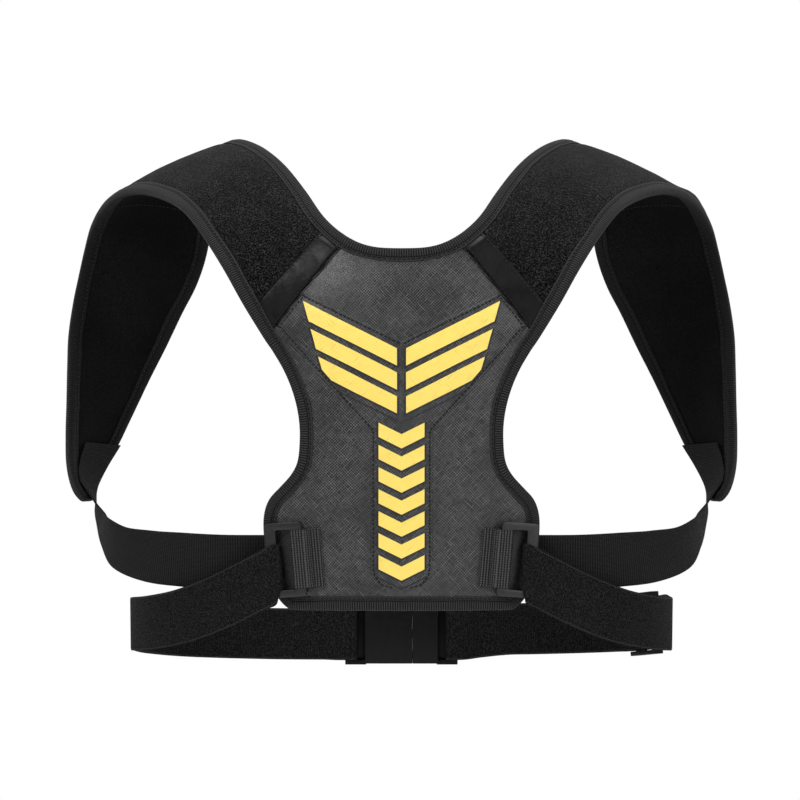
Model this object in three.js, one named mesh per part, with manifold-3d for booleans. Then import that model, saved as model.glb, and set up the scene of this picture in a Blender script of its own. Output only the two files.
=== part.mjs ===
// Posture corrector, worn shape: a padded back panel with two shoulder straps, edged with one binding.
// Webbing runs from each strap's lower end round the ribs to the hip of the panel, and a belt runs from a
// ring on each hip round the waist to a side-release buckle in front.
//
// Millimetres, +Z up. The wearer faces +Y, so the panel is on the -Y side. The origin lies midway between
// the two straps, at the height where they rest on the shoulders. Tables describe the half on the +X side,
// and the other half is its mirror image.

import * as THREE from "three";
import { mergeVertices } from "three/addons/utils/BufferGeometryUtils.js";
import Module from "manifold-3d";

// Overall form on the wearer
const SHOULDER_SPAN = 514;
const CHEST_DEPTH = 230;
const STRAP_DROP = 249;
const NECK_DROP = 63.5;
const PANEL_HEIGHT = 262;
const PANEL_WIDTH = 199.6;
const PANEL_WAIST = 146.8;
const NECK_DIP_WIDTH = 76.6;
const STRAP_WIDTH = 88;

// Cloth thicknesses and the clearance between sewn layers
const BODY_THICKNESS = 4;
const BINDING_WIDTH = 9;
const BINDING_WALL = 0.8;
const BINDING_GAP = 0.5;
const POCKET_THICKNESS = 1.2;
const POCKET_COLUMN_WIDTH = 45;
const POCKET_NOTCH_HEIGHT = 195;
const POCKET_WING_HEIGHT = 130;
const SEAM_BAND_WIDTH = 20;
const SEAM_BAND_THICKNESS = 0.9;
const CLOTH_GAP = 0.3;
const CURVED_GAP = 0.6;
const POCKET_GAP = 0.95;
const SEAM_GAP = 0.4;

// Webbing and belt
const WEBBING_WIDTH = 40;
const WEBBING_THICKNESS = 1.6;
const WEBBING_OVERLAP = 30;
const WEBBING_ABOVE_HEM = 34;
const WEBBING_HIP_GAP = 1.2;
const BELT_WIDTH = 40;
const BELT_FOLD_WIDTH = 34;
const BELT_THICKNESS = 1.8;
const BELT_RETURN = 38;
const BELT_FOLD_DROP = 4.5;
const BELT_EDGE_DROP = 10;
const BELT_EDGE_SLANT = 0.2;
const BELT_FLAT_RUN = 14;
const FOLD_EASE = 3;
const WAIST_SPAN = 405;
const WAIST_DEPTH = 214;
const BELT_DROP = 356;

// Ring on each hip and the tab that holds it
const RING_WIDTH = 28;
const RING_HEIGHT = 54;
const RING_THICKNESS = 3.5;
const RING_SIDE_BAR = 8;
const RING_END_BAR = 5;
const RING_CORNER = 3;
const RING_TILT = 4.5;
const RING_ABOVE_HEM = 37;
const RING_FROM_CENTRE = 81.5;
const TAB_HEIGHT = 42;
const TAB_THICKNESS = 1.1;
const TAB_TAIL = 12;
const TAB_STEP = 1.5;

// Buckle in front and the slider on the right of the belt
const BUCKLE_HEIGHT = 46;
const BUCKLE_DEPTH = 11;
const BUCKLE_WALL = 2;
const BUCKLE_STAND = 9.6;
const BUCKLE_END_WALL = 4;
const BUCKLE_OVERHANG = 1;
const BUCKLE_WINDOW = 18;
const BUCKLE_SLACK = 0.3;
const SOCKET_LENGTH = 37;
const PLUG_LENGTH = 20;
const BUCKLE_ARM = 3.4;
const BUCKLE_BAR = 7;
const BUCKLE_BAR_THICKNESS = 3.5;
const BUCKLE_BAR_REACH = 44;
const PRONG_LENGTH = 28;
const PRONG_WIDTH = 6;
const PRONG_HEAD = 12;
const SLIDER_LENGTH = 30;
const SLIDER_BAR = 5;
const SLIDER_THICKNESS = 2.4;
const SLIDER_OUT = 185;
const BAR_GAP = 0.6;

// Sampling of the curved sheets
const ROW_STEPS = 2;
const COLUMNS = 6;
const POCKET_COLUMNS = 3;
const FOLD_STEPS = 4;

const vec = (x, y, z) => new THREE.Vector3(x, y, z);

// The panel, one row a station from the hem up to the slanted seam where the strap begins.
// mid: height of the inner end, a share of PANEL_HEIGHT above the hem
// open: how far the inner end lies from the centre line, a share of half of NECK_DIP_WIDTH
// back: depth of the inner end, a share of CHEST_DEPTH
// edge: height of the outer end, a share of PANEL_HEIGHT
// flare: the outer end's place between half the waist width (0) and half the panel width (1)
// wrap: how far the outer end comes forward of the inner end, a share of CHEST_DEPTH
// bow: how far the row's middle stands behind a straight line between its ends, a share of CHEST_DEPTH
const PANEL_ROWS = [
  { mid: 0.0, open: 0, back: -0.426, edge: 0.0, flare: 0.25, wrap: 0.05, bow: 0.0125 },
  { mid: 0.055, open: 0, back: -0.428, edge: 0.028, flare: 0.57, wrap: 0.06, bow: 0.015 },
  { mid: 0.108, open: 0, back: -0.43, edge: 0.066, flare: 0.76, wrap: 0.066, bow: 0.0165 },
  { mid: 0.169, open: 0, back: -0.433, edge: 0.131, flare: 0.93, wrap: 0.073, bow: 0.018 },
  { mid: 0.23, open: 0, back: -0.437, edge: 0.203, flare: 1.0, wrap: 0.077, bow: 0.019 },
  { mid: 0.284, open: 0, back: -0.442, edge: 0.261, flare: 1.0, wrap: 0.077, bow: 0.019 },
  { mid: 0.329, open: 0, back: -0.447, edge: 0.306, flare: 0.86, wrap: 0.07, bow: 0.0175 },
  { mid: 0.371, open: 0, back: -0.452, edge: 0.339, flare: 0.57, wrap: 0.058, bow: 0.0145 },
  { mid: 0.41, open: 0, back: -0.457, edge: 0.375, flare: 0.25, wrap: 0.047, bow: 0.012 },
  { mid: 0.448, open: 0, back: -0.462, edge: 0.413, flare: 0.06, wrap: 0.043, bow: 0.011 },
  { mid: 0.501, open: 0, back: -0.469, edge: 0.474, flare: 0.0, wrap: 0.042, bow: 0.0105 },
  { mid: 0.589, open: 0, back: -0.479, edge: 0.528, flare: 0.02, wrap: 0.045, bow: 0.0115 },
  { mid: 0.688, open: 0, back: -0.486, edge: 0.581, flare: 0.12, wrap: 0.05, bow: 0.0145 },
  { mid: 0.787, open: 0, back: -0.481, edge: 0.627, flare: 0.27, wrap: 0.053, bow: 0.019 },
  { mid: 0.89, open: 0, back: -0.463, edge: 0.669, flare: 0.46, wrap: 0.043, bow: 0.025 },
  { mid: 1.0, open: 0, back: -0.435, edge: 0.703, flare: 0.66, wrap: 0.018, bow: 0.028 },
  { mid: 1.005, open: 0.55, back: -0.428, edge: 0.728, flare: 0.82, wrap: 0.009, bow: 0.017 },
  { mid: 1.031, open: 1, back: -0.409, edge: 0.749, flare: 0.97, wrap: -0.008, bow: 0.011 },
];

// The shoulder strap from just past the seam, over the shoulder and down in front to its lower end.
// out, fore, up: the middle of the strap, shares of half SHOULDER_SPAN, CHEST_DEPTH and STRAP_DROP
// ax, ay, az: direction across the strap, from the neck side to the arm side
// wide: width as a share of STRAP_WIDTH; bow: how far the middle stands proud, a share of STRAP_WIDTH
const STRAP_ROWS = [
  { out: 0.33, fore: -0.385, up: -0.292, ax: 0.67, ay: -0.19, az: -0.71, wide: 1.0, bow: 0.02 },
  { out: 0.388, fore: -0.328, up: -0.197, ax: 0.68, ay: -0.35, az: -0.65, wide: 1.0, bow: 0.025 },
  { out: 0.447, fore: -0.248, up: -0.111, ax: 0.69, ay: -0.43, az: -0.59, wide: 1.0, bow: 0.035 },
  { out: 0.507, fore: -0.15, up: -0.045, ax: 0.69, ay: -0.5, az: -0.53, wide: 1.0, bow: 0.045 },
  { out: 0.568, fore: -0.041, up: -0.007, ax: 0.73, ay: -0.47, az: -0.49, wide: 1.0, bow: 0.05 },
  { out: 0.626, fore: 0.061, up: 0.009, ax: 0.81, ay: -0.4, az: -0.44, wide: 1.03, bow: 0.05 },
  { out: 0.675, fore: 0.161, up: -0.004, ax: 0.87, ay: -0.31, az: -0.38, wide: 1.07, bow: 0.05 },
  { out: 0.717, fore: 0.265, up: -0.051, ax: 0.92, ay: -0.25, az: -0.3, wide: 1.1, bow: 0.045 },
  { out: 0.749, fore: 0.348, up: -0.13, ax: 0.95, ay: -0.23, az: -0.19, wide: 1.11, bow: 0.04 },
  { out: 0.77, fore: 0.393, up: -0.231, ax: 0.97, ay: -0.24, az: -0.02, wide: 1.1, bow: 0.035 },
  { out: 0.795, fore: 0.413, up: -0.32, ax: 0.95, ay: -0.29, az: 0.05, wide: 1.07, bow: 0.03 },
  { out: 0.826, fore: 0.413, up: -0.408, ax: 0.92, ay: -0.38, az: 0.08, wide: 1.01, bow: 0.025 },
  { out: 0.856, fore: 0.396, up: -0.511, ax: 0.87, ay: -0.48, az: 0.1, wide: 0.94, bow: 0.02 },
  { out: 0.883, fore: 0.376, up: -0.617, ax: 0.77, ay: -0.62, az: 0.14, wide: 0.85, bow: 0.02 },
  { out: 0.907, fore: 0.354, up: -0.723, ax: 0.67, ay: -0.73, az: 0.17, wide: 0.76, bow: 0.02 },
  { out: 0.928, fore: 0.326, up: -0.821, ax: 0.58, ay: -0.8, az: 0.15, wide: 0.66, bow: 0.015 },
  { out: 0.944, fore: 0.285, up: -0.899, ax: 0.41, ay: -0.9, az: 0.1, wide: 0.6, bow: 0.01 },
  { out: 0.944, fore: 0.239, up: -0.963, ax: 0.26, ay: -0.96, az: 0.07, wide: 0.53, bow: 0.0 },
  { out: 0.929, fore: 0.204, up: -1.004, ax: 0.12, ay: -0.99, az: 0.03, wide: 0.47, bow: 0.0 },
];

// The webbing where it is sewn on the strap's lining.
// neck, arm: places of its two edges across the strap, from the neck side (0) to the arm side (1)
// neckBack, armBack: how many rows these places lie before the strap's last row
const WEBBING_SEWN_ROWS = [
  { neck: 0, neckBack: 3.05, arm: 0.7, armBack: 2.85 },
  { neck: 0.03, neckBack: 2.1, arm: 0.8, armBack: 2.1 },
  { neck: 0.06, neckBack: 1.2, arm: 0.94, armBack: 1.2 },
];

// The webbing where it hangs free, from the strap's lower end to the hip of the panel.
// span: place between the strap's end (0) and the panel's edge (1) along X
// fore: a share of CHEST_DEPTH; up: a share of STRAP_DROP
// ax, ay, az: direction across, from the lower edge to the upper edge at the hip
const WEBBING_ROWS = [
  { span: 0.042, fore: 0.2, up: -1.0, ax: 0.08, ay: -0.99, az: 0.03 },
  { span: 0.058, fore: 0.156, up: -1.03, ax: -0.17, ay: -0.97, az: 0.08 },
  { span: 0.079, fore: 0.11, up: -1.057, ax: -0.21, ay: -0.93, az: 0.27 },
  { span: 0.118, fore: 0.02, up: -1.095, ax: -0.21, ay: -0.82, az: 0.55 },
  { span: 0.207, fore: -0.075, up: -1.137, ax: -0.3, ay: -0.56, az: 0.78 },
  { span: 0.372, fore: -0.18, up: -1.158, ax: -0.17, ay: -0.26, az: 0.95 },
  { span: 0.554, fore: -0.262, up: -1.165, ax: -0.05, ay: -0.1, az: 0.99 },
  { span: 0.784, fore: -0.318, up: -1.17, ax: 0, ay: -0.03, az: 1 },
];

// The webbing's stations behind the panel's hip, shares of WEBBING_OVERLAP in from the panel's edge
const HIP_SHARES = [0.1, 0.5, 1];

// The belt from the ring round the waist to the buckle.
// out: a share of half WAIST_SPAN; fore: a share of half WAIST_DEPTH; up: a share of BELT_DROP
// ax, ay, az: direction across, from the lower edge to the upper edge
const BELT_ROWS = [
  { out: 0.545, fore: -0.845, up: -0.867, ax: 0.33, ay: 0.05, az: 0.94 },
  { out: 0.672, fore: -0.755, up: -0.903, ax: 0.33, ay: 0.08, az: 0.94 },
  { out: 0.796, fore: -0.61, up: -0.931, ax: 0.3, ay: 0.09, az: 0.95 },
  { out: 0.916, fore: -0.375, up: -0.948, ax: 0.17, ay: 0.05, az: 0.98 },
  { out: 0.99, fore: -0.095, up: -0.956, ax: 0.03, ay: 0, az: 1 },
  { out: 0.998, fore: 0.15, up: -0.961, ax: 0.01, ay: 0, az: 1 },
  { out: 0.96, fore: 0.52, up: -0.975, ax: 0, ay: 0, az: 1 },
  { out: 0.81, fore: 0.83, up: -0.989, ax: 0, ay: 0, az: 1 },
  { out: 0.52, fore: 1.02, up: -0.998, ax: 0, ay: 0, az: 1 },
];

// The raised pocket on the panel: wings from the seams down to a notch, then a column with a round foot.
// arm: place along the wing, from the column (0) to the seam (1)
// mid, edge: heights of the row's ends on the column, shares of PANEL_HEIGHT above the hem
// half: the column's half width, a share of half POCKET_COLUMN_WIDTH
const POCKET_ROWS = [
  { arm: 1, mid: 0, edge: 0, half: 1 },
  { arm: 0.8, mid: 0, edge: 0, half: 1 },
  { arm: 0.6, mid: 0, edge: 0, half: 1 },
  { arm: 0.4, mid: 0, edge: 0, half: 1 },
  { arm: 0.2, mid: 0, edge: 0, half: 1 },
  { arm: 0, mid: 0, edge: 0, half: 1 },
  { arm: null, mid: 0.66, edge: 0.46, half: 1 },
  { arm: null, mid: 0.57, edge: 0.42, half: 1 },
  { arm: null, mid: 0.48, edge: 0.37, half: 1 },
  { arm: null, mid: 0.39, edge: 0.32, half: 1 },
  { arm: null, mid: 0.3, edge: 0.265, half: 1 },
  { arm: null, mid: 0.215, edge: 0.2, half: 1 },
  { arm: null, mid: 0.13, edge: 0.135, half: 1 },
  { arm: null, mid: 0.09, edge: 0.1, half: 0.93 },
  { arm: null, mid: 0.066, edge: 0.076, half: 0.65 },
  { arm: null, mid: 0.062, edge: 0.064, half: 0.28 },
];
const WING_TOP = 0.54;
const WING_FOOT = 0.8;

// A uniform Catmull-Rom curve through rows of numbers; t counts rows. Ends are mirrored unless given.
function curve(rows, t, before = null, after = null) {
  const last = rows.length - 1;
  const i = Math.min(Math.max(Math.floor(t), 0), last - 1);
  const f = t - i;
  const mirrorEnd = (end, next) => end.map((value, k) => 2 * value - next[k]);
  const p0 = i > 0 ? rows[i - 1] : before ?? mirrorEnd(rows[0], rows[1]);
  const p1 = rows[i];
  const p2 = rows[i + 1];
  const p3 = i + 2 <= last ? rows[i + 2] : after ?? mirrorEnd(rows[last], rows[last - 1]);
  return p1.map((value, k) => {
    const a = 2 * value;
    const b = p2[k] - p0[k];
    const c = 2 * p0[k] - 5 * value + 4 * p2[k] - p3[k];
    const d = 3 * value - p0[k] - 3 * p2[k] + p3[k];
    return (a + b * f + c * f * f + d * f * f * f) / 2;
  });
}

// Stations of the half vest: ends of each row and how far its middle bows out
const SEAM_ROW = PANEL_ROWS.length - 1;
const NECK_ROW = PANEL_ROWS.findIndex((row) => row.open > 0) - 1;
const LAST_ROW = SEAM_ROW + STRAP_ROWS.length;
const HEM_LEVEL = -NECK_DROP - PANEL_HEIGHT;

const innerEnds = [];
const outerEnds = [];
const bows = [];
for (const row of PANEL_ROWS) {
  const y = row.back * CHEST_DEPTH;
  const halfWidth = PANEL_WAIST / 2 + (row.flare * (PANEL_WIDTH - PANEL_WAIST)) / 2;
  innerEnds.push([(row.open * NECK_DIP_WIDTH) / 2, y, HEM_LEVEL + row.mid * PANEL_HEIGHT]);
  outerEnds.push([halfWidth, y + row.wrap * CHEST_DEPTH, HEM_LEVEL + row.edge * PANEL_HEIGHT]);
  bows.push([row.bow * CHEST_DEPTH]);
}
for (const row of STRAP_ROWS) {
  const middle = vec((row.out * SHOULDER_SPAN) / 2, row.fore * CHEST_DEPTH, row.up * STRAP_DROP);
  const reach = vec(row.ax, row.ay, row.az).setLength((row.wide * STRAP_WIDTH) / 2);
  innerEnds.push(middle.clone().sub(reach).toArray());
  outerEnds.push(middle.clone().add(reach).toArray());
  bows.push([row.bow * STRAP_WIDTH]);
}

function innerEnd(s) {
  if (s <= NECK_ROW) return curve(innerEnds.slice(0, NECK_ROW + 1), s);
  const [x, y, z] = innerEnds[NECK_ROW + 1];
  return curve(innerEnds.slice(NECK_ROW), s - NECK_ROW, [-x, y, z]);
}

function outerEnd(s) {
  const [x, y, z] = outerEnds[0];
  const onHem = 1 - BINDING_WIDTH / x;
  const middleDepth = innerEnds[0][1];
  return curve(outerEnds, s, [x * onHem, middleDepth + (y - middleDepth) * onHem * onHem, z]);
}

function chord(s, v) {
  return vec(...innerEnd(s)).lerp(vec(...outerEnd(s)), v);
}

// A point of the vest's middle surface: s counts rows from the hem, v runs from the neck side to the arm
function bodyPoint(s, v) {
  const step = 0.1;
  const low = Math.max(s - step, 0);
  const high = Math.min(s + step, LAST_ROW);
  const along = chord(high, 0.5).sub(chord(low, 0.5));
  const across = chord(s, 1).sub(chord(s, 0));
  const proud = across.cross(along).setLength(curve(bows, s)[0] * 4 * v * (1 - v));
  return chord(s, v).add(proud);
}

// Rates of change of the surface along s and across v
function slopes(s, v) {
  const step = 0.05;
  const s0 = Math.max(s - step, 0);
  const s1 = Math.min(s + step, LAST_ROW);
  const v0 = Math.max(v - step, 0);
  const v1 = Math.min(v + step, 1);
  return {
    along: bodyPoint(s1, v).sub(bodyPoint(s0, v)).divideScalar(s1 - s0),
    across: bodyPoint(s, v1).sub(bodyPoint(s, v0)).divideScalar(v1 - v0),
  };
}

function onCentreLine(s, v) {
  return v === 0 && s <= NECK_ROW;
}

function bodyNormal(s, v) {
  const { along, across } = slopes(s, v);
  const normal = across.cross(along);
  if (onCentreLine(s, v)) normal.x = 0;
  return normal.normalize();
}

// The direction in the surface that leads inward from the rim, long enough to clear both edges at a corner
function inward(s, v) {
  const { along, across } = slopes(s, v);
  along.normalize();
  across.normalize();
  const normal = bodyNormal(s, v);
  const square = (way, edge) => way.clone().addScaledVector(edge, -way.dot(edge)).normalize();
  const ways = [];
  if (v === 0 && s > NECK_ROW) ways.push(square(across, along));
  if (v === 0 && s === NECK_ROW) ways.push(vec(0, 0, -1));
  if (v === 1) ways.push(square(across.clone().negate(), along));
  if (s === 0) ways.push(square(along, across));
  if (s === LAST_ROW) ways.push(square(along.clone().negate(), across));
  if (ways.length === 0) return vec(0, 0, 0);
  const [first, second] = ways;
  const way = second ? first.clone().add(second).divideScalar(1 + first.dot(second)) : first;
  return way.addScaledVector(normal, -way.dot(normal));
}

// The place on the surface that is nearest to a target, found from a first guess by a few corrections
function nearestPlace(target, s, v, highest = LAST_ROW) {
  const tries = 8;
  for (let i = 0; i < tries; i++) {
    const { along, across } = slopes(s, v);
    const miss = target.clone().sub(bodyPoint(s, v));
    const a = along.dot(along);
    const b = along.dot(across);
    const c = across.dot(across);
    const p = miss.dot(along);
    const q = miss.dot(across);
    const fold = a * c - b * b;
    s = Math.min(Math.max(s + (c * p - b * q) / fold, 0), highest);
    v = Math.min(Math.max(v + (a * q - b * p) / fold, 0), 1);
  }
  return [s, v];
}

const range = (from, to, count) => Array.from({ length: count + 1 }, (_, i) => from + ((to - from) * i) / count);

// A body from points and faces; the faces may be given either way round, as long as they agree
function closedGeometry(points, faces) {
  let volume = 0;
  for (const [a, b, c] of faces) volume += points[a].dot(points[b].clone().cross(points[c]));
  const index = volume < 0 ? faces.flatMap(([a, b, c]) => [a, c, b]) : faces.flat();
  const geometry = new THREE.BufferGeometry();
  const numbers = points.flatMap((p) => p.toArray());
  geometry.setAttribute("position", new THREE.Float32BufferAttribute(numbers, 3));
  geometry.setIndex(index);
  geometry.computeVertexNormals();
  return geometry;
}

// A solid through rings of points, with flat ends or closed on itself
function loft(rings, closed = false) {
  const size = rings[0].length;
  const faces = [];
  const spans = closed ? rings.length : rings.length - 1;
  for (let i = 0; i < spans; i++) {
    const here = i * size;
    const next = ((i + 1) % rings.length) * size;
    for (let k = 0; k < size; k++) {
      const m = (k + 1) % size;
      faces.push([here + k, here + m, next + m], [here + k, next + m, next + k]);
    }
  }
  if (!closed) {
    const end = (rings.length - 1) * size;
    for (let k = 1; k < size - 1; k++) faces.push([0, k + 1, k], [end, end + k, end + k + 1]);
  }
  return closedGeometry(rings.flat(), faces);
}

// A sheet of four-cornered cells, thickened along its normals from one offset to another
function slab({ points, normals, cells }, from, to) {
  const count = points.length;
  const at = (offset) => points.map((p, i) => p.clone().addScaledVector(normals[i], offset));
  const faces = [];
  const edges = new Map();
  for (const [a, b, c, d] of cells) {
    faces.push([a, b, c], [a, c, d], [a + count, c + count, b + count], [a + count, d + count, c + count]);
    for (const [m, n] of [[a, b], [b, c], [c, d], [d, a]]) {
      if (!edges.delete(`${n},${m}`)) edges.set(`${m},${n}`, [m, n]);
    }
  }
  for (const [m, n] of edges.values()) faces.push([n, m, m + count], [n, m + count, n + count]);
  return closedGeometry([...at(to), ...at(from)], faces);
}

// A sheet from rows of places given on one half; rows that start on the centre line join the mirror image
function sheetFrom(rows, place, both = false) {
  const points = [];
  const normals = [];
  const cells = [];
  const shared = new Map();
  for (const side of both ? [1, -1] : [1]) {
    const index = rows.map((row, i) =>
      row.map((station, k) => {
        if (side < 0 && shared.has(`${i},${k}`)) return shared.get(`${i},${k}`);
        const { point, normal } = place(station);
        if (Math.abs(point.x) < 1e-6) shared.set(`${i},${k}`, points.length);
        points.push(point.multiply(vec(side, 1, 1)));
        normals.push(normal.multiply(vec(side, 1, 1)));
        return points.length - 1;
      }),
    );
    for (let i = 0; i < rows.length - 1; i++) {
      for (let k = 0; k < rows[i].length - 1; k++) {
        const cell = [index[i][k], index[i][k + 1], index[i + 1][k + 1], index[i + 1][k]];
        cells.push(side > 0 ? cell : cell.reverse());
      }
    }
  }
  return { points, normals, cells };
}

// A flat strap through stations of middle points and directions across, with its width and thickness
function ribbon(stations, thickness) {
  const rings = stations.map(({ middle, across, width }, i) => {
    const before = stations[Math.max(i - 1, 0)].middle;
    const after = stations[Math.min(i + 1, stations.length - 1)].middle;
    const along = after.clone().sub(before).normalize();
    const side = across.clone().setLength(width / 2);
    const up = side.clone().cross(along).setLength(thickness / 2);
    const corner = (a, b) => middle.clone().addScaledVector(side, a).addScaledVector(up, b);
    return [corner(-1, -1), corner(1, -1), corner(1, 1), corner(-1, 1)];
  });
  return loft(rings);
}

function mirrored(geometry) {
  const copy = geometry.clone().applyMatrix4(new THREE.Matrix4().makeScale(-1, 1, 1));
  const index = copy.index.array;
  for (let i = 0; i < index.length; i += 3) [index[i + 1], index[i + 2]] = [index[i + 2], index[i + 1]];
  copy.computeVertexNormals();
  return copy;
}

const wasm = await Module();
wasm.setup();

function solid(geometry) {
  const bare = geometry.clone();
  bare.deleteAttribute("normal");
  bare.deleteAttribute("uv");
  const merged = mergeVertices(bare, 1e-4);
  const vertProperties = new Float32Array(merged.attributes.position.array);
  const triVerts = new Uint32Array(merged.index.array);
  return new wasm.Manifold(new wasm.Mesh({ numProp: 3, vertProperties, triVerts }));
}

function geometryOf(made) {
  const { vertProperties, triVerts } = made.getMesh();
  const geometry = new THREE.BufferGeometry();
  geometry.setAttribute("position", new THREE.Float32BufferAttribute(vertProperties, 3));
  geometry.setIndex(new THREE.Uint32BufferAttribute(triVerts, 1));
  geometry.computeVertexNormals();
  return geometry;
}

// A block between two corners
function block(x0, y0, z0, x1, y1, z1) {
  const box = new THREE.BoxGeometry(x1 - x0, y1 - y0, z1 - z0);
  return solid(box.translate((x0 + x1) / 2, (y0 + y1) / 2, (z0 + z1) / 2));
}

const HALF = BODY_THICKNESS / 2;
const BINDING_FACE = HALF + BINDING_GAP + BINDING_WALL;
const VALUES_ACROSS = range(0, 1, COLUMNS);
const seamLength = chord(SEAM_ROW + 1, 0).distanceTo(chord(SEAM_ROW, 0));
const STRAP_START = SEAM_ROW + SEAM_GAP / seamLength;
const panelRows = range(0, SEAM_ROW, SEAM_ROW * ROW_STEPS);
const strapRows = range(SEAM_ROW, LAST_ROW, (LAST_ROW - SEAM_ROW) * ROW_STEPS);
const rowsOf = (rows, columns) => rows.map((s) => columns.map((v) => [s, v]));

// A place of the padded body, whose rim stops short of the binding's fold
function bodyPlace([s, v]) {
  const point = bodyPoint(s, v).addScaledVector(inward(s, v), BINDING_WALL + BINDING_GAP);
  return { point, normal: bodyNormal(s, v) };
}

function makeBackPanel() {
  return slab(sheetFrom(rowsOf(panelRows, VALUES_ACROSS), bodyPlace, true), -HALF, HALF);
}

function makeShoulderStrap() {
  const rows = [STRAP_START, ...strapRows.slice(1)];
  return slab(sheetFrom(rowsOf(rows, VALUES_ACROSS), bodyPlace), -HALF, HALF);
}

// One folded tape round the whole rim: hem, arm edge, strap end, neck edge, and the mirror image of these
function makeBinding() {
  const stations = range(0, 1, COLUMNS).map((v) => [0, v]);
  for (const s of [...panelRows.slice(1), ...strapRows.slice(1)]) stations.push([s, 1]);
  stations.push([LAST_ROW, 0.5]);
  const neckRows = range(NECK_ROW, LAST_ROW, (LAST_ROW - NECK_ROW) * ROW_STEPS).reverse();
  for (const s of neckRows) stations.push([s, 0]);
  const inside = HALF + BINDING_GAP;
  const shoulder = BINDING_WALL * 2;
  const rings = [1, -1].map((side) =>
    stations.map(([s, v]) => {
      const rim = bodyPoint(s, v);
      const way = inward(s, v);
      const normal = bodyNormal(s, v);
      const inner = rim.clone().addScaledVector(way, BINDING_WIDTH);
      const [s1, v1] = nearestPlace(inner, s, v);
      const foot = bodyPoint(s1, v1);
      const footNormal = bodyNormal(s1, v1);
      const near = (b, h) => rim.clone().addScaledVector(way, b).addScaledVector(normal, h);
      const far = (h) => foot.clone().addScaledVector(footNormal, h);
      const profile = [
        far(BINDING_FACE),
        near(shoulder, BINDING_FACE),
        near(0, BINDING_FACE / 2),
        near(0, -BINDING_FACE / 2),
        near(shoulder, -BINDING_FACE),
        far(-BINDING_FACE),
        far(-inside),
        near(BINDING_WALL, -inside),
        near(BINDING_WALL, inside),
        far(inside),
      ];
      return profile.map((p) => p.multiply(vec(side, 1, 1)));
    }),
  );
  const [right, left] = rings;
  return loft([...right, ...left.slice(1, -1).reverse()], true);
}

// A place of the panel that lies at a given distance from the centre line and height
function panelPlace(x, z) {
  let s = Math.min(Math.max(((z - HEM_LEVEL) / PANEL_HEIGHT) * NECK_ROW, 0), SEAM_ROW);
  let v = Math.min(x / outerEnd(s)[0], 1);
  const tries = 12;
  for (let i = 0; i < tries; i++) {
    const { along, across } = slopes(s, v);
    const here = bodyPoint(s, v);
    const [p, q] = [x - here.x, z - here.z];
    const fold = along.x * across.z - along.z * across.x;
    s = Math.min(Math.max(s + (p * across.z - q * across.x) / fold, 0), SEAM_ROW);
    v = Math.min(Math.max(v + (along.x * q - along.z * p) / fold, 0), 1);
  }
  return [s, v];
}

function makePocket() {
  const notch = vec(0, 0, HEM_LEVEL + POCKET_NOTCH_HEIGHT);
  const root = vec(POCKET_COLUMN_WIDTH / 2, 0, HEM_LEVEL + POCKET_WING_HEIGHT);
  const tipRow = SEAM_ROW - (2 * SEAM_GAP) / seamLength;
  const tipTop = bodyPoint(tipRow, WING_TOP);
  const tipFoot = bodyPoint(tipRow, WING_FOOT);
  const rows = POCKET_ROWS.map(({ arm, mid, edge, half }) => {
    const level = (share) => HEM_LEVEL + share * PANEL_HEIGHT;
    const inner = arm === null ? vec(0, 0, level(mid)) : notch.clone().lerp(tipTop, arm);
    const outer =
      arm === null ? vec((half * POCKET_COLUMN_WIDTH) / 2, 0, level(edge)) : root.clone().lerp(tipFoot, arm);
    return range(0, 1, POCKET_COLUMNS).map((share) => inner.clone().lerp(outer, share));
  });
  const place = ({ x, z }) => {
    const [s, v] = panelPlace(x, z);
    const point = bodyPoint(s, v);
    if (x === 0) point.x = 0;
    const normal = bodyNormal(s, x === 0 ? 0 : v);
    if (x === 0) normal.x = 0;
    return { point, normal: normal.normalize() };
  };
  const lift = HALF + POCKET_GAP;
  return slab(sheetFrom(rows, place, true), lift, lift + POCKET_THICKNESS);
}

function makeSeamBand() {
  const rowLength = bodyPoint(SEAM_ROW + 1, 0.5).distanceTo(bodyPoint(SEAM_ROW, 0.5));
  const rows = range(STRAP_START, SEAM_ROW + SEAM_BAND_WIDTH / rowLength, ROW_STEPS);
  const margin = (BINDING_WIDTH + 2 * CURVED_GAP) / chord(SEAM_ROW, 0).distanceTo(chord(SEAM_ROW, 1));
  const place = ([s, v]) => ({ point: bodyPoint(s, v), normal: bodyNormal(s, v) });
  const lift = HALF + CLOTH_GAP;
  const columns = range(margin, 1 - margin, COLUMNS);
  return slab(sheetFrom(rowsOf(rows, columns), place), lift, lift + SEAM_BAND_THICKNESS);
}

// Stations of a strap, filled in between chosen ones by a smooth curve
function smoothStations(chosen, steps) {
  const rows = chosen.map(({ middle, across, width }) => [
    ...middle.toArray(),
    ...across.clone().normalize().toArray(),
    width,
  ]);
  return range(0, rows.length - 1, (rows.length - 1) * steps).map((t) => {
    const [x, y, z, ax, ay, az, width] = curve(rows, t);
    return { middle: vec(x, y, z), across: vec(ax, ay, az), width };
  });
}

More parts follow.
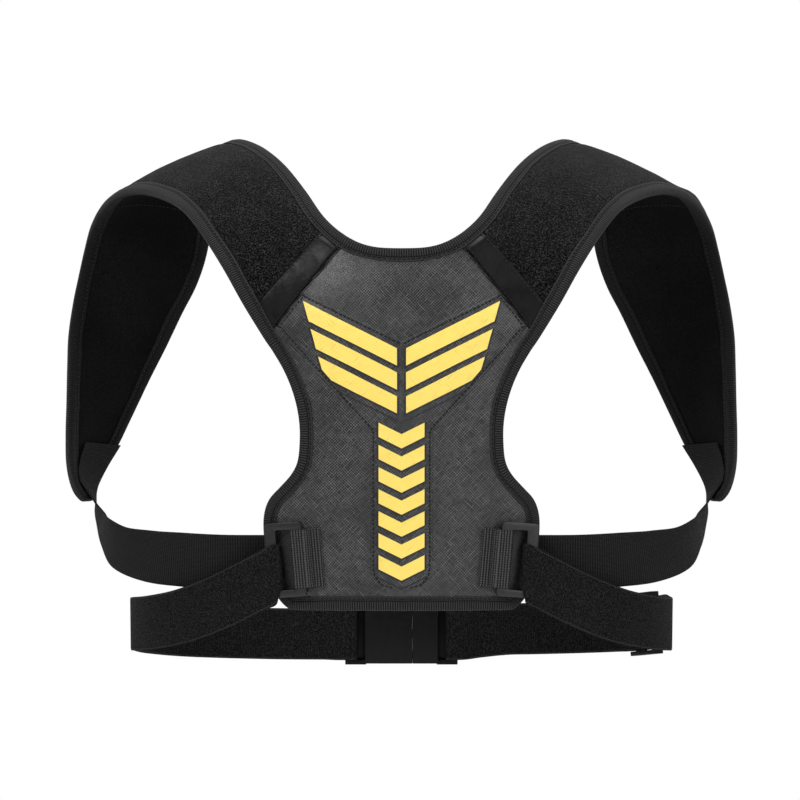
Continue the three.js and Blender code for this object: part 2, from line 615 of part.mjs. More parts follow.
// The webbing is sewn on the strap's lining, hangs free to the hip and ends behind the panel's edge
function makeWebbing() {
  const under = (s, v, gap) => {
    const behind = BINDING_FACE + gap + WEBBING_THICKNESS / 2;
    return bodyPoint(s, v).addScaledVector(bodyNormal(s, v), -behind);
  };
  const chosen = WEBBING_SEWN_ROWS.map(({ neck, neckBack, arm, armBack }) => {
    const neckEdge = under(LAST_ROW - neckBack, neck, CURVED_GAP);
    const armEdge = under(LAST_ROW - armBack, arm, CURVED_GAP);
    const across = armEdge.clone().sub(neckEdge);
    return { middle: neckEdge.lerp(armEdge, 0.5), across, width: WEBBING_WIDTH };
  });
  const strapEnd = chosen[chosen.length - 1].middle.x;
  for (const { span, fore, up, ax, ay, az } of WEBBING_ROWS) {
    const x = strapEnd + span * (PANEL_WIDTH / 2 - strapEnd);
    const middle = vec(x, fore * CHEST_DEPTH, up * STRAP_DROP);
    chosen.push({ middle, across: vec(ax, ay, az), width: WEBBING_WIDTH });
  }
  const hip = HEM_LEVEL + WEBBING_ABOVE_HEM;
  for (const share of HIP_SHARES) {
    const [s, v] = panelPlace(PANEL_WIDTH / 2 - share * WEBBING_OVERLAP, hip);
    chosen.push({ middle: under(s, v, WEBBING_HIP_GAP), across: vec(0, 0, 1), width: WEBBING_WIDTH });
  }
  return ribbon(smoothStations(chosen, ROW_STEPS), WEBBING_THICKNESS);
}

// The ring's own axes on the hip: u outward, w up, n away from the wearer, all tilted a little
const RING_LIFT = BINDING_FACE - HALF + 2 * CURVED_GAP + BELT_THICKNESS;
const ringPlace = panelPlace(RING_FROM_CENTRE, HEM_LEVEL + RING_ABOVE_HEM);
const ringAway = bodyNormal(...ringPlace);
const ringUp = vec(0, 0, 1).addScaledVector(ringAway, -ringAway.z).normalize();
ringUp.applyAxisAngle(ringAway, THREE.MathUtils.degToRad(-RING_TILT));
const ringOut = ringUp.clone().cross(ringAway);
const ringMiddle = bodyPoint(...ringPlace).addScaledVector(ringAway, HALF + RING_LIFT);

// A point from the ring's middle: u outward, w up, and n from the ring's back face
function fromRing(u, w, n) {
  return ringMiddle.clone().addScaledVector(ringOut, u).addScaledVector(ringUp, w).addScaledVector(ringAway, n);
}

function roundedRectangle(path, halfWidth, halfHeight, corner) {
  path.moveTo(halfWidth - corner, -halfHeight);
  path.absarc(halfWidth - corner, -halfHeight + corner, corner, -Math.PI / 2, 0, false);
  path.absarc(halfWidth - corner, halfHeight - corner, corner, 0, Math.PI / 2, false);
  path.absarc(-halfWidth + corner, halfHeight - corner, corner, Math.PI / 2, Math.PI, false);
  path.absarc(-halfWidth + corner, -halfHeight + corner, corner, Math.PI, Math.PI * 1.5, false);
  return path;
}

function makeRing() {
  const outline = roundedRectangle(new THREE.Shape(), RING_WIDTH / 2, RING_HEIGHT / 2, RING_CORNER);
  const slotWidth = RING_WIDTH / 2 - RING_SIDE_BAR;
  const slotHeight = RING_HEIGHT / 2 - RING_END_BAR;
  outline.holes.push(roundedRectangle(new THREE.Path(), slotWidth, slotHeight, RING_CORNER / 2));
  const options = { depth: RING_THICKNESS, bevelEnabled: false, curveSegments: 3 };
  const axes = new THREE.Matrix4().makeBasis(ringOut, ringUp, ringAway).setPosition(ringMiddle);
  return new THREE.ExtrudeGeometry(outline, options).applyMatrix4(axes);
}

// A half turn round a bar whose side is at u, from n0 to n1, as stations in the ring's axes
function ringFold(u, reach, n0, n1, steps) {
  const radius = (n1 - n0) / 2;
  return range(-90, 90, steps).map((degrees) => {
    const angle = THREE.MathUtils.degToRad(degrees);
    return [u + reach * Math.cos(angle), (n0 + n1) / 2 + radius * Math.sin(angle)];
  });
}

// The tab: sewn to the panel beside the ring, round the ring's inner bar and back on itself
function makeTab() {
  const t = TAB_THICKNESS;
  const face = -RING_LIFT + CLOTH_GAP + t / 2;
  const tailEnd = -RING_WIDTH / 2 - TAB_TAIL;
  const barEdge = -RING_WIDTH / 2 + RING_SIDE_BAR;
  const reach = CLOTH_GAP + t / 2;
  const below = -CLOTH_GAP - t / 2;
  const above = RING_THICKNESS + CLOTH_GAP + t / 2;
  const route = [
    [tailEnd, face],
    [-RING_WIDTH / 2 - TAB_STEP, face],
    [-RING_WIDTH / 2 + TAB_STEP, below],
    ...ringFold(barEdge, reach, below, above, FOLD_STEPS),
    [-RING_WIDTH / 2 - TAB_STEP, above],
    [-RING_WIDTH / 2 - 3 * TAB_STEP, face + 2 * t + CLOTH_GAP],
    [tailEnd, face + t + CLOTH_GAP],
  ];
  const stations = route.map(([u, n]) => ({ middle: fromRing(u, 0, n), across: ringUp, width: TAB_HEIGHT }));
  return ribbon(stations, t);
}

const BUCKLE_FORE = WAIST_DEPTH / 2 + BUCKLE_STAND;
const BUCKLE_LEVEL = -BELT_DROP;
const BAR_SIDE = BUCKLE_BAR_REACH - BUCKLE_BAR;

// Smooths the belt's route from over the ring's outer bar to over the buckle's bar, on the +X side
function beltRoute() {
  const overRing = RING_THICKNESS + CLOTH_GAP + BELT_THICKNESS / 2;
  const slotEdge = RING_WIDTH / 2 - RING_SIDE_BAR;
  const slant = ringUp.clone().addScaledVector(ringOut, BELT_EDGE_SLANT);
  const growth = (share) => BELT_FOLD_WIDTH + share * (BELT_WIDTH - BELT_FOLD_WIDTH);
  const chosen = [
    { middle: fromRing(slotEdge, -BELT_FOLD_DROP, overRing), across: ringUp, width: growth(0) },
    { middle: fromRing(RING_WIDTH / 2, -BELT_EDGE_DROP, overRing), across: slant, width: growth(1 / 3) },
  ];
  BELT_ROWS.forEach(({ out, fore, up, ax, ay, az }, i) => {
    const middle = vec((out * WAIST_SPAN) / 2, (fore * WAIST_DEPTH) / 2, up * BELT_DROP);
    chosen.push({ middle, across: vec(ax, ay, az), width: growth(i === 0 ? 1 / 2 : 1) });
  });
  const overBar = BUCKLE_FORE - BUCKLE_BAR_THICKNESS / 2 - CLOTH_GAP - BELT_THICKNESS / 2;
  for (const x of [BUCKLE_BAR_REACH + BELT_FLAT_RUN, BUCKLE_BAR_REACH, BAR_SIDE]) {
    chosen.push({ middle: vec(x, overBar, BUCKLE_LEVEL), across: vec(0, 0, 1), width: BELT_WIDTH });
  }
  return smoothStations(chosen, 3);
}

// A layer that folds back along the route: how far it stands off at its fold, and how long it is
function foldedLayer(route, standOff, barWidth, length) {
  const layer = [];
  const settled = BELT_THICKNESS + CLOTH_GAP;
  let run = 0;
  for (let i = 0; i < route.length; i++) {
    const before = route[Math.max(i - 1, 0)].middle;
    const after = route[Math.min(i + 1, route.length - 1)].middle;
    const here = route[i];
    if (i > 0) run += here.middle.distanceTo(before);
    if (run > length) break;
    const away = here.across.clone().cross(after.clone().sub(before)).normalize();
    const ease = Math.min(Math.max((run - barWidth) / (2 * barWidth), 0), 1);
    const stand = standOff + (settled - standOff) * ease * ease * (3 - 2 * ease);
    layer.push({ ...here, middle: here.middle.clone().addScaledVector(away, stand) });
  }
  return layer;
}

// Half a turn between the ends of two layers, bulging away from both
function turn(from, to, bulge, steps) {
  const middle = from.middle.clone().lerp(to.middle, 0.5);
  const radius = from.middle.clone().sub(middle);
  return range(0, Math.PI, steps)
    .slice(1, -1)
    .map((angle) => ({
      ...from,
      middle: middle.clone().addScaledVector(radius, Math.cos(angle)).addScaledVector(bulge, Math.sin(angle)),
    }));
}

function makeBelt(returnLength) {
  const route = beltRoute();
  const ringStand = RING_THICKNESS + 2 * CLOTH_GAP + BELT_THICKNESS;
  const barStand = BUCKLE_BAR_THICKNESS + 2 * CLOTH_GAP + BELT_THICKNESS;
  const reach = CURVED_GAP + BELT_THICKNESS / 2;
  const atRing = foldedLayer(route, ringStand, RING_SIDE_BAR + FOLD_EASE, BELT_RETURN);
  const atBuckle = foldedLayer([...route].reverse(), -barStand, BUCKLE_BAR + FOLD_EASE, returnLength);
  const stations = [
    ...atRing.slice().reverse(),
    ...turn(atRing[0], route[0], ringOut.clone().multiplyScalar(-reach), FOLD_STEPS),
    ...route,
    ...turn(route[route.length - 1], atBuckle[0], vec(-reach, 0, 0), FOLD_STEPS),
    ...atBuckle,
  ];
  return ribbon(stations, BELT_THICKNESS);
}

// A frame that carries the belt beside the buckle: two arms and the bar, on the +X side
function barFrame(from) {
  const top = BUCKLE_HEIGHT / 2 + BUCKLE_OVERHANG;
  const half = BUCKLE_BAR_THICKNESS / 2;
  const arm = block(from, -half, top - BUCKLE_ARM, BUCKLE_BAR_REACH, half, top);
  const lower = block(from, -half, -top, BUCKLE_BAR_REACH, half, -top + BUCKLE_ARM);
  const bar = block(BAR_SIDE, -half, -top, BUCKLE_BAR_REACH, half, top);
  return arm.add(lower).add(bar);
}

const BUCKLE_SPLIT = (SOCKET_LENGTH - PLUG_LENGTH) / 2;
const SOCKET_END = BUCKLE_SPLIT - SOCKET_LENGTH;
const BUCKLE_PLACE = [0, BUCKLE_FORE, BUCKLE_LEVEL];
const PRONG_TIP = BUCKLE_SPLIT - PRONG_LENGTH;
// How far a block reaches into or past another, so that joins and cuts leave no skin between them
const BITE = 1;

function makeSocket() {
  const halfHeight = BUCKLE_HEIGHT / 2;
  const halfDepth = BUCKLE_DEPTH / 2;
  const roomDepth = halfDepth - BUCKLE_WALL;
  const roomHeight = halfHeight - BUCKLE_WALL;
  const roomStart = SOCKET_END + BUCKLE_END_WALL;
  const headEnd = PRONG_TIP + PRONG_HEAD;
  const shell = block(SOCKET_END, -halfDepth, -halfHeight, BUCKLE_SPLIT, halfDepth, halfHeight);
  const room = block(roomStart, -roomDepth, -roomHeight, BUCKLE_SPLIT + BITE, roomDepth, roomHeight);
  const sides = halfHeight + BITE;
  const windows = block(headEnd - BUCKLE_WINDOW, -roomDepth, -sides, headEnd, roomDepth, sides);
  const frame = geometryOf(barFrame(-SOCKET_END - BITE));
  const made = shell.subtract(room).subtract(windows).add(solid(mirrored(frame)));
  return geometryOf(made).translate(...BUCKLE_PLACE);
}

// Two prongs with heads that fill the socket's side windows, a guide between them, and a shoulder outside
function makePlug() {
  const start = BUCKLE_SPLIT + CLOTH_GAP;
  const end = BUCKLE_SPLIT + PLUG_LENGTH;
  const halfHeight = BUCKLE_HEIGHT / 2;
  const halfDepth = BUCKLE_DEPTH / 2;
  const thin = halfDepth - BUCKLE_WALL - BUCKLE_SLACK;
  const prongTop = halfHeight - BUCKLE_WALL - BUCKLE_SLACK - BITE;
  const prongFoot = prongTop - PRONG_WIDTH;
  const headEnd = PRONG_TIP + PRONG_HEAD - BUCKLE_SLACK;
  let made = block(start, -halfDepth, -halfHeight, end, halfDepth, halfHeight).add(barFrame(end - BITE));
  for (const side of [1, -1]) {
    const [low, high] = [side * prongFoot, side * prongTop].sort((a, b) => a - b);
    const [headLow, headHigh] = [side * prongFoot, side * halfHeight].sort((a, b) => a - b);
    made = made.add(block(PRONG_TIP, -thin, low, start + BITE, thin, high));
    made = made.add(block(PRONG_TIP, -thin, headLow, headEnd, thin, headHigh));
  }
  made = made.add(block(PRONG_TIP + PRONG_WIDTH, -thin, -PRONG_WIDTH / 2, start + BITE, thin, PRONG_WIDTH / 2));
  return geometryOf(made).translate(...BUCKLE_PLACE);
}

// The slider's end bars lie outside the belt and its middle bar inside, held by a rail above and below
function makeSlider(route) {
  let nearest = 1;
  for (let i = 1; i < route.length - 1; i++) {
    const isFront = route[i].middle.y > 0;
    const miss = Math.abs(route[i].middle.x - SLIDER_OUT);
    if (isFront && miss < Math.abs(route[nearest].middle.x - SLIDER_OUT)) nearest = i;
  }
  const { middle } = route[nearest];
  const along = route[nearest + 1].middle.clone().sub(route[nearest - 1].middle).normalize();
  const up = vec(0, 0, 1).addScaledVector(along, -along.z).normalize();
  const inside = along.clone().cross(up).negate();
  const clear = BELT_THICKNESS / 2 + BAR_GAP;
  const half = SLIDER_LENGTH / 2;
  const low = BELT_WIDTH / 2 + BAR_GAP;
  const high = low + BUCKLE_ARM;
  const outer = -clear - SLIDER_THICKNESS;
  const inner = clear + SLIDER_THICKNESS;
  const rail = (z0, z1) => block(-half, outer, z0, half, inner, z1);
  const outsideBar = (x0) => block(x0, outer, -high, x0 + SLIDER_BAR, -clear, high);
  const middleBar = block(-SLIDER_BAR / 2, clear, -high, SLIDER_BAR / 2, inner, high);
  const made = rail(low, high)
    .add(rail(-high, -low))
    .add(outsideBar(-half))
    .add(outsideBar(half - SLIDER_BAR))
    .add(middleBar);
  const axes = new THREE.Matrix4().makeBasis(along, inside, up).setPosition(middle);
  return geometryOf(made).applyMatrix4(axes);
}

function look(color, roughness) {
  return new THREE.MeshStandardMaterial({ color, roughness, metalness: 0 });
}

const velour = look(0x1b1b1c, 0.95);
const leather = look(0x2a2a2b, 0.5);
const gloss = look(0x222224, 0.25);
const tape = look(0x202021, 0.85);
const twill = look(0x1e1e1f, 0.8);
const elastic = look(0x242425, 0.9);
const plastic = look(0x1c1c1d, 0.4);

const group = new THREE.Group();

function add(name, geometry, material) {
  const mesh = new THREE.Mesh(geometry, material);
  mesh.name = name;
  group.add(mesh);
}

function addPair(name, geometry, material) {
  add(`${name}_right`, geometry, material);
  add(`${name}_left`, mirrored(geometry), material);
}

add("back_panel", makeBackPanel(), leather);
add("stay_pocket", makePocket(), leather);
add("edge_binding", makeBinding(), tape);
addPair("shoulder_strap", makeShoulderStrap(), velour);
addPair("seam_band", makeSeamBand(), gloss);
addPair("webbing", makeWebbing(), twill);
addPair("ring", geometryOf(solid(makeRing())), plastic);
addPair("ring_tab", makeTab(), twill);
const frontRoute = beltRoute();
add("belt_left", mirrored(makeBelt(BELT_RETURN)), elastic);
add("belt_right", makeBelt(SLIDER_OUT - BUCKLE_BAR_REACH - SLIDER_LENGTH / 2), elastic);
add("buckle_socket", makeSocket(), plastic);
add("buckle_plug", makePlug(), plastic);
add("tri_glide", makeSlider(frontRoute), plastic);

export default group;
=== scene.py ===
import math

import bmesh
import bpy
import numpy as np
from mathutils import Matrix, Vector, kdtree, noise


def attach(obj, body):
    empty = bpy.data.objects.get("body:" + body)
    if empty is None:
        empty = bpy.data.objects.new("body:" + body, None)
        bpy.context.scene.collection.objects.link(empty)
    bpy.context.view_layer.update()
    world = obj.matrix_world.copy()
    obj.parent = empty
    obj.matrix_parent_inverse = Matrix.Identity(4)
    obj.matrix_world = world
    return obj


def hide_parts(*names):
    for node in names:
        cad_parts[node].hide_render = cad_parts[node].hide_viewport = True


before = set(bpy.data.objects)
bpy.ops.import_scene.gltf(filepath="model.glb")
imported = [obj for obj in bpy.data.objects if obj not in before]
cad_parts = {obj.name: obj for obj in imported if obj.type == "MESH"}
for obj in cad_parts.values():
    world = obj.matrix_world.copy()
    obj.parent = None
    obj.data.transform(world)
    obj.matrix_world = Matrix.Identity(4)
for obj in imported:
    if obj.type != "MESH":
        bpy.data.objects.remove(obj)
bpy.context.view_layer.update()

METRES = 0.001

# Sizes in millimetres, as in the solids
SHOULDER_SPAN = 514
CHEST_DEPTH = 230
STRAP_DROP = 249
NECK_DROP = 63.5
PANEL_HEIGHT = 262
PANEL_WIDTH = 199.6
PANEL_WAIST = 146.8
NECK_DIP_WIDTH = 76.6
STRAP_WIDTH = 88
BINDING_WIDTH = 9
BINDING_FACE = 3.3
POCKET_COLUMN_WIDTH = 45
POCKET_NOTCH_HEIGHT = 195
POCKET_WING_HEIGHT = 130
SEAM_BAND_WIDTH = 20
WEBBING_WIDTH = 40
WEBBING_THICKNESS = 1.6
WEBBING_OVERLAP = 30
WEBBING_ABOVE_HEM = 34
WEBBING_HIP_GAP = 1.2
CURVED_GAP = 0.6
CLOTH_GAP = 0.3
BELT_WIDTH = 40
BELT_FOLD_WIDTH = 34
BELT_THICKNESS = 1.8
BELT_RETURN = 38
BELT_FOLD_DROP = 4.5
BELT_EDGE_DROP = 10
BELT_EDGE_SLANT = 0.2
BELT_FLAT_RUN = 14
FOLD_EASE = 3
WAIST_SPAN = 405
WAIST_DEPTH = 214
BELT_DROP = 356
RING_WIDTH = 28
RING_THICKNESS = 3.5
RING_SIDE_BAR = 8
RING_TILT = 4.5
RING_ABOVE_HEM = 37
RING_FROM_CENTRE = 81.5
TAB_HEIGHT = 42
TAB_THICKNESS = 1.1
TAB_TAIL = 12
TAB_STEP = 1.5
BUCKLE_STAND = 9.6
BUCKLE_BAR = 7
BUCKLE_BAR_THICKNESS = 3.5
BUCKLE_BAR_REACH = 44
BUCKLE_HEIGHT = 46
BUCKLE_DEPTH = 11
SOCKET_LENGTH = 37
PLUG_LENGTH = 20
SLIDER_OUT = 185
SLIDER_LENGTH = 30


def table(names, rows):
    """Rows of numbers, with the names of their columns given once."""
    return [dict(zip(names.split(), row)) for row in rows]


# The same tables of shares as the solids, with a rounder pocket foot and a wider pocket wing
PANEL_ROWS = table("mid open back edge flare wrap bow", [
    (0.0, 0, -0.426, 0.0, 0.25, 0.05, 0.0125),
    (0.055, 0, -0.428, 0.028, 0.57, 0.06, 0.015),
    (0.108, 0, -0.43, 0.066, 0.76, 0.066, 0.0165),
    (0.169, 0, -0.433, 0.131, 0.93, 0.073, 0.018),
    (0.23, 0, -0.437, 0.203, 1.0, 0.077, 0.019),
    (0.284, 0, -0.442, 0.261, 1.0, 0.077, 0.019),
    (0.329, 0, -0.447, 0.306, 0.86, 0.07, 0.0175),
    (0.371, 0, -0.452, 0.339, 0.57, 0.058, 0.0145),
    (0.41, 0, -0.457, 0.375, 0.25, 0.047, 0.012),
    (0.448, 0, -0.462, 0.413, 0.06, 0.043, 0.011),
    (0.501, 0, -0.469, 0.474, 0.0, 0.042, 0.0105),
    (0.589, 0, -0.479, 0.528, 0.02, 0.045, 0.0115),
    (0.688, 0, -0.486, 0.581, 0.12, 0.05, 0.0145),
    (0.787, 0, -0.481, 0.627, 0.27, 0.053, 0.019),
    (0.89, 0, -0.463, 0.669, 0.46, 0.043, 0.025),
    (1.0, 0, -0.435, 0.703, 0.66, 0.018, 0.028),
    (1.005, 0.55, -0.428, 0.728, 0.82, 0.009, 0.017),
    (1.031, 1, -0.409, 0.749, 0.97, -0.008, 0.011),
])
STRAP_ROWS = table("out fore up ax ay az wide bow", [
    (0.33, -0.385, -0.292, 0.67, -0.19, -0.71, 1.0, 0.02),
    (0.388, -0.328, -0.197, 0.68, -0.35, -0.65, 1.0, 0.025),
    (0.447, -0.248, -0.111, 0.69, -0.43, -0.59, 1.0, 0.035),
    (0.507, -0.15, -0.045, 0.69, -0.5, -0.53, 1.0, 0.045),
    (0.568, -0.041, -0.007, 0.73, -0.47, -0.49, 1.0, 0.05),
    (0.626, 0.061, 0.009, 0.81, -0.4, -0.44, 1.03, 0.05),
    (0.675, 0.161, -0.004, 0.87, -0.31, -0.38, 1.07, 0.05),
    (0.717, 0.265, -0.051, 0.92, -0.25, -0.3, 1.1, 0.045),
    (0.749, 0.348, -0.13, 0.95, -0.23, -0.19, 1.11, 0.04),
    (0.77, 0.393, -0.231, 0.97, -0.24, -0.02, 1.1, 0.035),
    (0.795, 0.413, -0.32, 0.95, -0.29, 0.05, 1.07, 0.03),
    (0.826, 0.413, -0.408, 0.92, -0.38, 0.08, 1.01, 0.025),
    (0.856, 0.396, -0.511, 0.87, -0.48, 0.1, 0.94, 0.02),
    (0.883, 0.376, -0.617, 0.77, -0.62, 0.14, 0.85, 0.02),
    (0.907, 0.354, -0.723, 0.67, -0.73, 0.17, 0.76, 0.02),
    (0.928, 0.326, -0.821, 0.58, -0.8, 0.15, 0.66, 0.015),
    (0.944, 0.285, -0.899, 0.41, -0.9, 0.1, 0.6, 0.01),
    (0.944, 0.239, -0.963, 0.26, -0.96, 0.07, 0.53, 0.0),
    (0.929, 0.204, -1.004, 0.12, -0.99, 0.03, 0.47, 0.0),
])
WEBBING_SEWN_ROWS = table("neck neck_back arm arm_back", [
    (0, 3.05, 0.7, 2.85),
    (0.03, 2.1, 0.8, 2.1),
    (0.06, 1.2, 0.94, 1.2),
])
WEBBING_ROWS = table("span fore up ax ay az", [
    (0.042, 0.2, -1.0, 0.08, -0.99, 0.03),
    (0.058, 0.156, -1.03, -0.17, -0.97, 0.08),
    (0.079, 0.11, -1.057, -0.21, -0.93, 0.27),
    (0.118, 0.02, -1.095, -0.21, -0.82, 0.55),
    (0.207, -0.075, -1.137, -0.3, -0.56, 0.78),
    (0.372, -0.18, -1.158, -0.17, -0.26, 0.95),
    (0.554, -0.262, -1.165, -0.05, -0.1, 0.99),
    (0.784, -0.318, -1.17, 0, -0.03, 1),
])
HIP_SHARES = [0.1, 0.5, 1]
BELT_ROWS = table("out fore up ax ay az", [
    (0.545, -0.845, -0.867, 0.33, 0.05, 0.94),
    (0.672, -0.755, -0.903, 0.33, 0.08, 0.94),
    (0.796, -0.61, -0.931, 0.3, 0.09, 0.95),
    (0.916, -0.375, -0.948, 0.17, 0.05, 0.98),
    (0.99, -0.095, -0.956, 0.03, 0, 1),
    (0.998, 0.15, -0.961, 0.01, 0, 1),
    (0.96, 0.52, -0.975, 0, 0, 1),
    (0.81, 0.83, -0.989, 0, 0, 1),
    (0.52, 1.02, -0.998, 0, 0, 1),
])
POCKET_COLUMN_ROWS = table("mid edge half", [
    (0.66, 0.46, 1),
    (0.57, 0.42, 1),
    (0.48, 0.37, 1),
    (0.39, 0.32, 1),
    (0.3, 0.265, 1),
    (0.215, 0.2, 1),
    (0.13, 0.135, 1),
    (0.085, 0.095, 0.95),
    (0.06, 0.066, 0.68),
    (0.054, 0.055, 0.28),
])
WING_TOP = 0.54
WING_FOOT = 0.865

# Worked out from the sizes and the tables
SEAM_ROW = len(PANEL_ROWS) - 1
NECK_ROW = SEAM_ROW - 2
LAST_ROW = SEAM_ROW + len(STRAP_ROWS)
HEM_LEVEL = -NECK_DROP - PANEL_HEIGHT
BUCKLE_FORE = WAIST_DEPTH / 2 + BUCKLE_STAND
BUCKLE_SPLIT = (SOCKET_LENGTH - PLUG_LENGTH) / 2
PLUG_START = BUCKLE_SPLIT + CLOTH_GAP
MIRROR = np.array([-1.0, 1.0, 1.0])
SIDE_NAMES = {1: "right", -1: "left"}

# Where the buckle, the slider, the belts and the webbing depart from the solids
PLUG_CLOSE = 0.24
BUCKLE_LIP = 1.2
BUCKLE_LIP_INSET = 0.6
BUCKLE_LIP_LAP = 1
BUCKLE_LIP_OVER_BAR = 2
FRONT_LIFT = 3.8
FRONT_LIFT_FROM = 40
FRONT_LIFT_REACH = 50
FRONT_LIFT_FROM_FORE = 4
FRONT_LIFT_FORE_REACH = 36
SLIDER_FILL = 0.45
SLIDER_FILL_REACH = 14
LOOP_SPREAD = 3.4
LOOP_SPREAD_PLACE = 9
LOOP_SPREAD_REACH = 8
LOOP_SPREAD_START = 4
PINCH_STATION = 30
PINCH_REACH = 7
PINCH_SHARE = 0.3
PINCH_SHIFT = 1.3
PINCH_TURN = 0.1

# Fineness of the grids and the lines
GRID = 2.6
FINE_STEPS = 400
PANEL_COLUMNS = 38
STRAP_COLUMNS = 36
SEAM_BAND_GRID = (22, 70)
WEBBING_STEPS = 10
BELT_STEPS = 9
WOVEN_COLUMNS = 18
TAB_COLUMNS = 30
TAB_STEP_LENGTH = 0.33
RIM_STEP = 1.6
RIM_END_STEPS = 60
RIM_ROW_STEPS = 20
RIM_EASE = 1.2
BOW_STEP = 0.1
SLOPE_STEP = 0.05
NEAREST_ROUNDS = 6
PANEL_ROUNDS = 12
POCKET_STITCH_STEP = 0.8
POCKET_WING_SHARES = np.concatenate([[0, 0.007, 0.014, 0.021, 0.03, 0.045], np.linspace(0.065, 1, 30)])
POCKET_COLUMN_SHARES = np.concatenate([
    [0, 0.012, 0.025, 0.04, 0.055, 0.08], np.linspace(0.11, 0.89, 22), [0.92, 0.945, 0.96, 0.975, 0.988, 1],
])

# Form of the padding, in millimetres
RIM_INSET = 1.6
TIP_ROUND = 10
FOAM_EDGE = 1.95
FOAM_FACE = 3.1
FOAM_RISE = 6
FOAM_UNDER_TAPE = 1.2
PANEL_FACE = FOAM_FACE - 0.3
PANEL_BACK = 2.6
STRAP_BACK = 2.8
SWELL_REACH = 12
LONG_SWELL = dict(size=36, height=0.75)
SHORT_SWELL = dict(size=12, height=0.22)
LINING_SWELL = dict(size=26, height=0.25)
ROW_LENGTH = 14
SEAM_DIP = 0.4
SEAM_DIP_WIDTH = 3.0
SEAM_DIP_REACH = 4
SEAM_OPEN = 0.008
EASED_FROM_ROW = 14
EASED_ROWS = 1.5
EASED_FROM_RIM = 5
EASED_REACH = 8
EASED_PASSES = 14
PUFFS = table("x z reach rise", [
    (60, -243, 15, 1.5),
    (40, -262, 22, -0.8),
    (66, -168, 16, 1.1),
    (20, -92, 20, 0.9),
])
BUMP_PLACE = (25.4, 0.87)
BUMP_REACH = (0.8, 0.09)
BUMP_HEIGHT = 9
SEAM_BAND_START = 0.02
SEAM_BAND_ENDS = (0.03, 0.97)
SEAM_BAND_UNDER_TAPE = 1
SEAM_BAND_REACH = 5
SEAM_BAND_FACE = 0.12
SEAM_BAND_BACK = 0.28
SEAM_BAND_STAND = 0.25
SEAM_BAND_SWELL = 0.75
SEAM_BAND_LONG_CREASE = dict(size=13, height=0.35)
SEAM_BAND_SHORT_CREASE = dict(size=6, height=0.15)
POCKET_UNDER_SEAM = 0.06
POCKET_COLUMN_STEPS = 90
POCKET_STAND = 0.05
POCKET_SINK = 0.4
POCKET_EDGE = 1.6
POCKET_RISE = 0.95
POCKET_GROOVE = 0.45
POCKET_GROOVE_WIDTH = 0.7
POCKET_SWELL = 0.45
POCKET_SWELL_FROM = 3
POCKET_SWELL_REACH = 6
ON_CENTRE = 1e-6
WOVEN_EDGE = 0.05
WOVEN_EDGE_FLOOR = 0.12
WOVEN_EDGE_CROWD = 1.35
TAB_RIB = 0.16
TAB_RIB_PITCH = 2.0

# Binding tape: shares of its width from the rim with heights, and the waves of its width
TAPE_WIDTH = 10.4
TAPE_HEM = 3.6
TAPE_STITCH = 2.1
TAPE_STITCH_SHARE = 0.8
TAPE_STITCH_HEIGHT = 2.75
TAPE_STITCH_RADIUS = 0.6
TAPE_LONG_WAVE = dict(length=17, share=0.03)
TAPE_SHORT_WAVE = dict(length=6.3, share=0.02)
BINDING_PROFILE = [
    (1.0, 2.62), (0.97, 2.95), (0.9, 3.0), (0.8, 2.7), (0.7, 2.85), (0.66, 2.95), (0.6, 3.3),
    (0.45, 3.5), (0.3, 3.4), (0.15, 3.1), (0.06, 2.4), (0.01, 1.3), (-0.01, 0.0),
]
BINDING_INSIDE = [
    (0.99, -2.3), (0.5, -2.45), (0.12, -2.1), (0.09, 0.0), (0.12, 2.1), (0.5, 2.45), (0.99, 2.3),
]

# Stitches
STITCH_PITCH = 3.3
STITCH_LENGTH = 2.3
STITCH_RADIUS = 0.5
BEAD_SIDES = 6
BEAD_PROFILE = [(-1.0, 0.15), (-0.75, 0.8), (0.0, 1.0), (0.75, 0.8), (1.0, 0.15)]
BEAD_AIM = 0.4
ROW_POINTS = 60
POCKET_STITCH_RADIUS = 0.75
POCKET_STITCH_LENGTH = 2.5
POCKET_STITCH_INSET = 2.4
POCKET_STITCH_HEIGHT = 0.1
POCKET_STITCH_FROM = 0.3
BAND_STITCH_INSET = 1.6
BAND_STITCH_ENDS = (0.1, 0.9)
BAND_STITCH_HEIGHT = 0.85
LINING_SEAM = 25.6
LINING_SEAM_SLANT = -1.43
LINING_STITCH_ENDS = (0.13, 0.87)
LINING_STITCH_HEIGHT = 0.15
TAB_STITCHES = (2, 5)
TAB_STITCH_HEIGHT = 0.15
TAB_STITCH_PAST = 1
TAB_ROW_POINTS = 40
# Beads longer than their pitch, joined into one dark line: painted shade in the tab's gap.
TAB_GAP_SHADE_LENGTH = STITCH_PITCH + 0.3

# Moulded pieces
RING_ROUNDING = 0.7
BUCKLE_ROUNDING = 0.6
SLIDER_ROUNDING = 0.5
CORNER_STEPS = 3
WELD_REACH = 0.02
FLAT_ANGLE = math.radians(3)
SHARP_ANGLE = math.radians(25)
SHADE_ANGLE = math.radians(40)

# Darkest and lightest grey of each material; the lightest greys of the leatherette and of the tab are mostly
# painted glints and highlights
TONES = dict(
    velour=(0.0006, 0.042), leather=(0.002, 0.12), lining=(0.0016, 0.0105), gloss=(0.003, 0.009),
    binding=(0.002, 0.046), tab=(0.001, 0.12), webbing=(0.0015, 0.03), elastic=(0.002, 0.027),
    plastic=(0.003, 0.006), thread=(0.0015, 0.006),
)
TAPE_STRIP = 0.65
EDGE_LINE_PITCH = 1.6
EDGE_LINE_TONE = 0.05

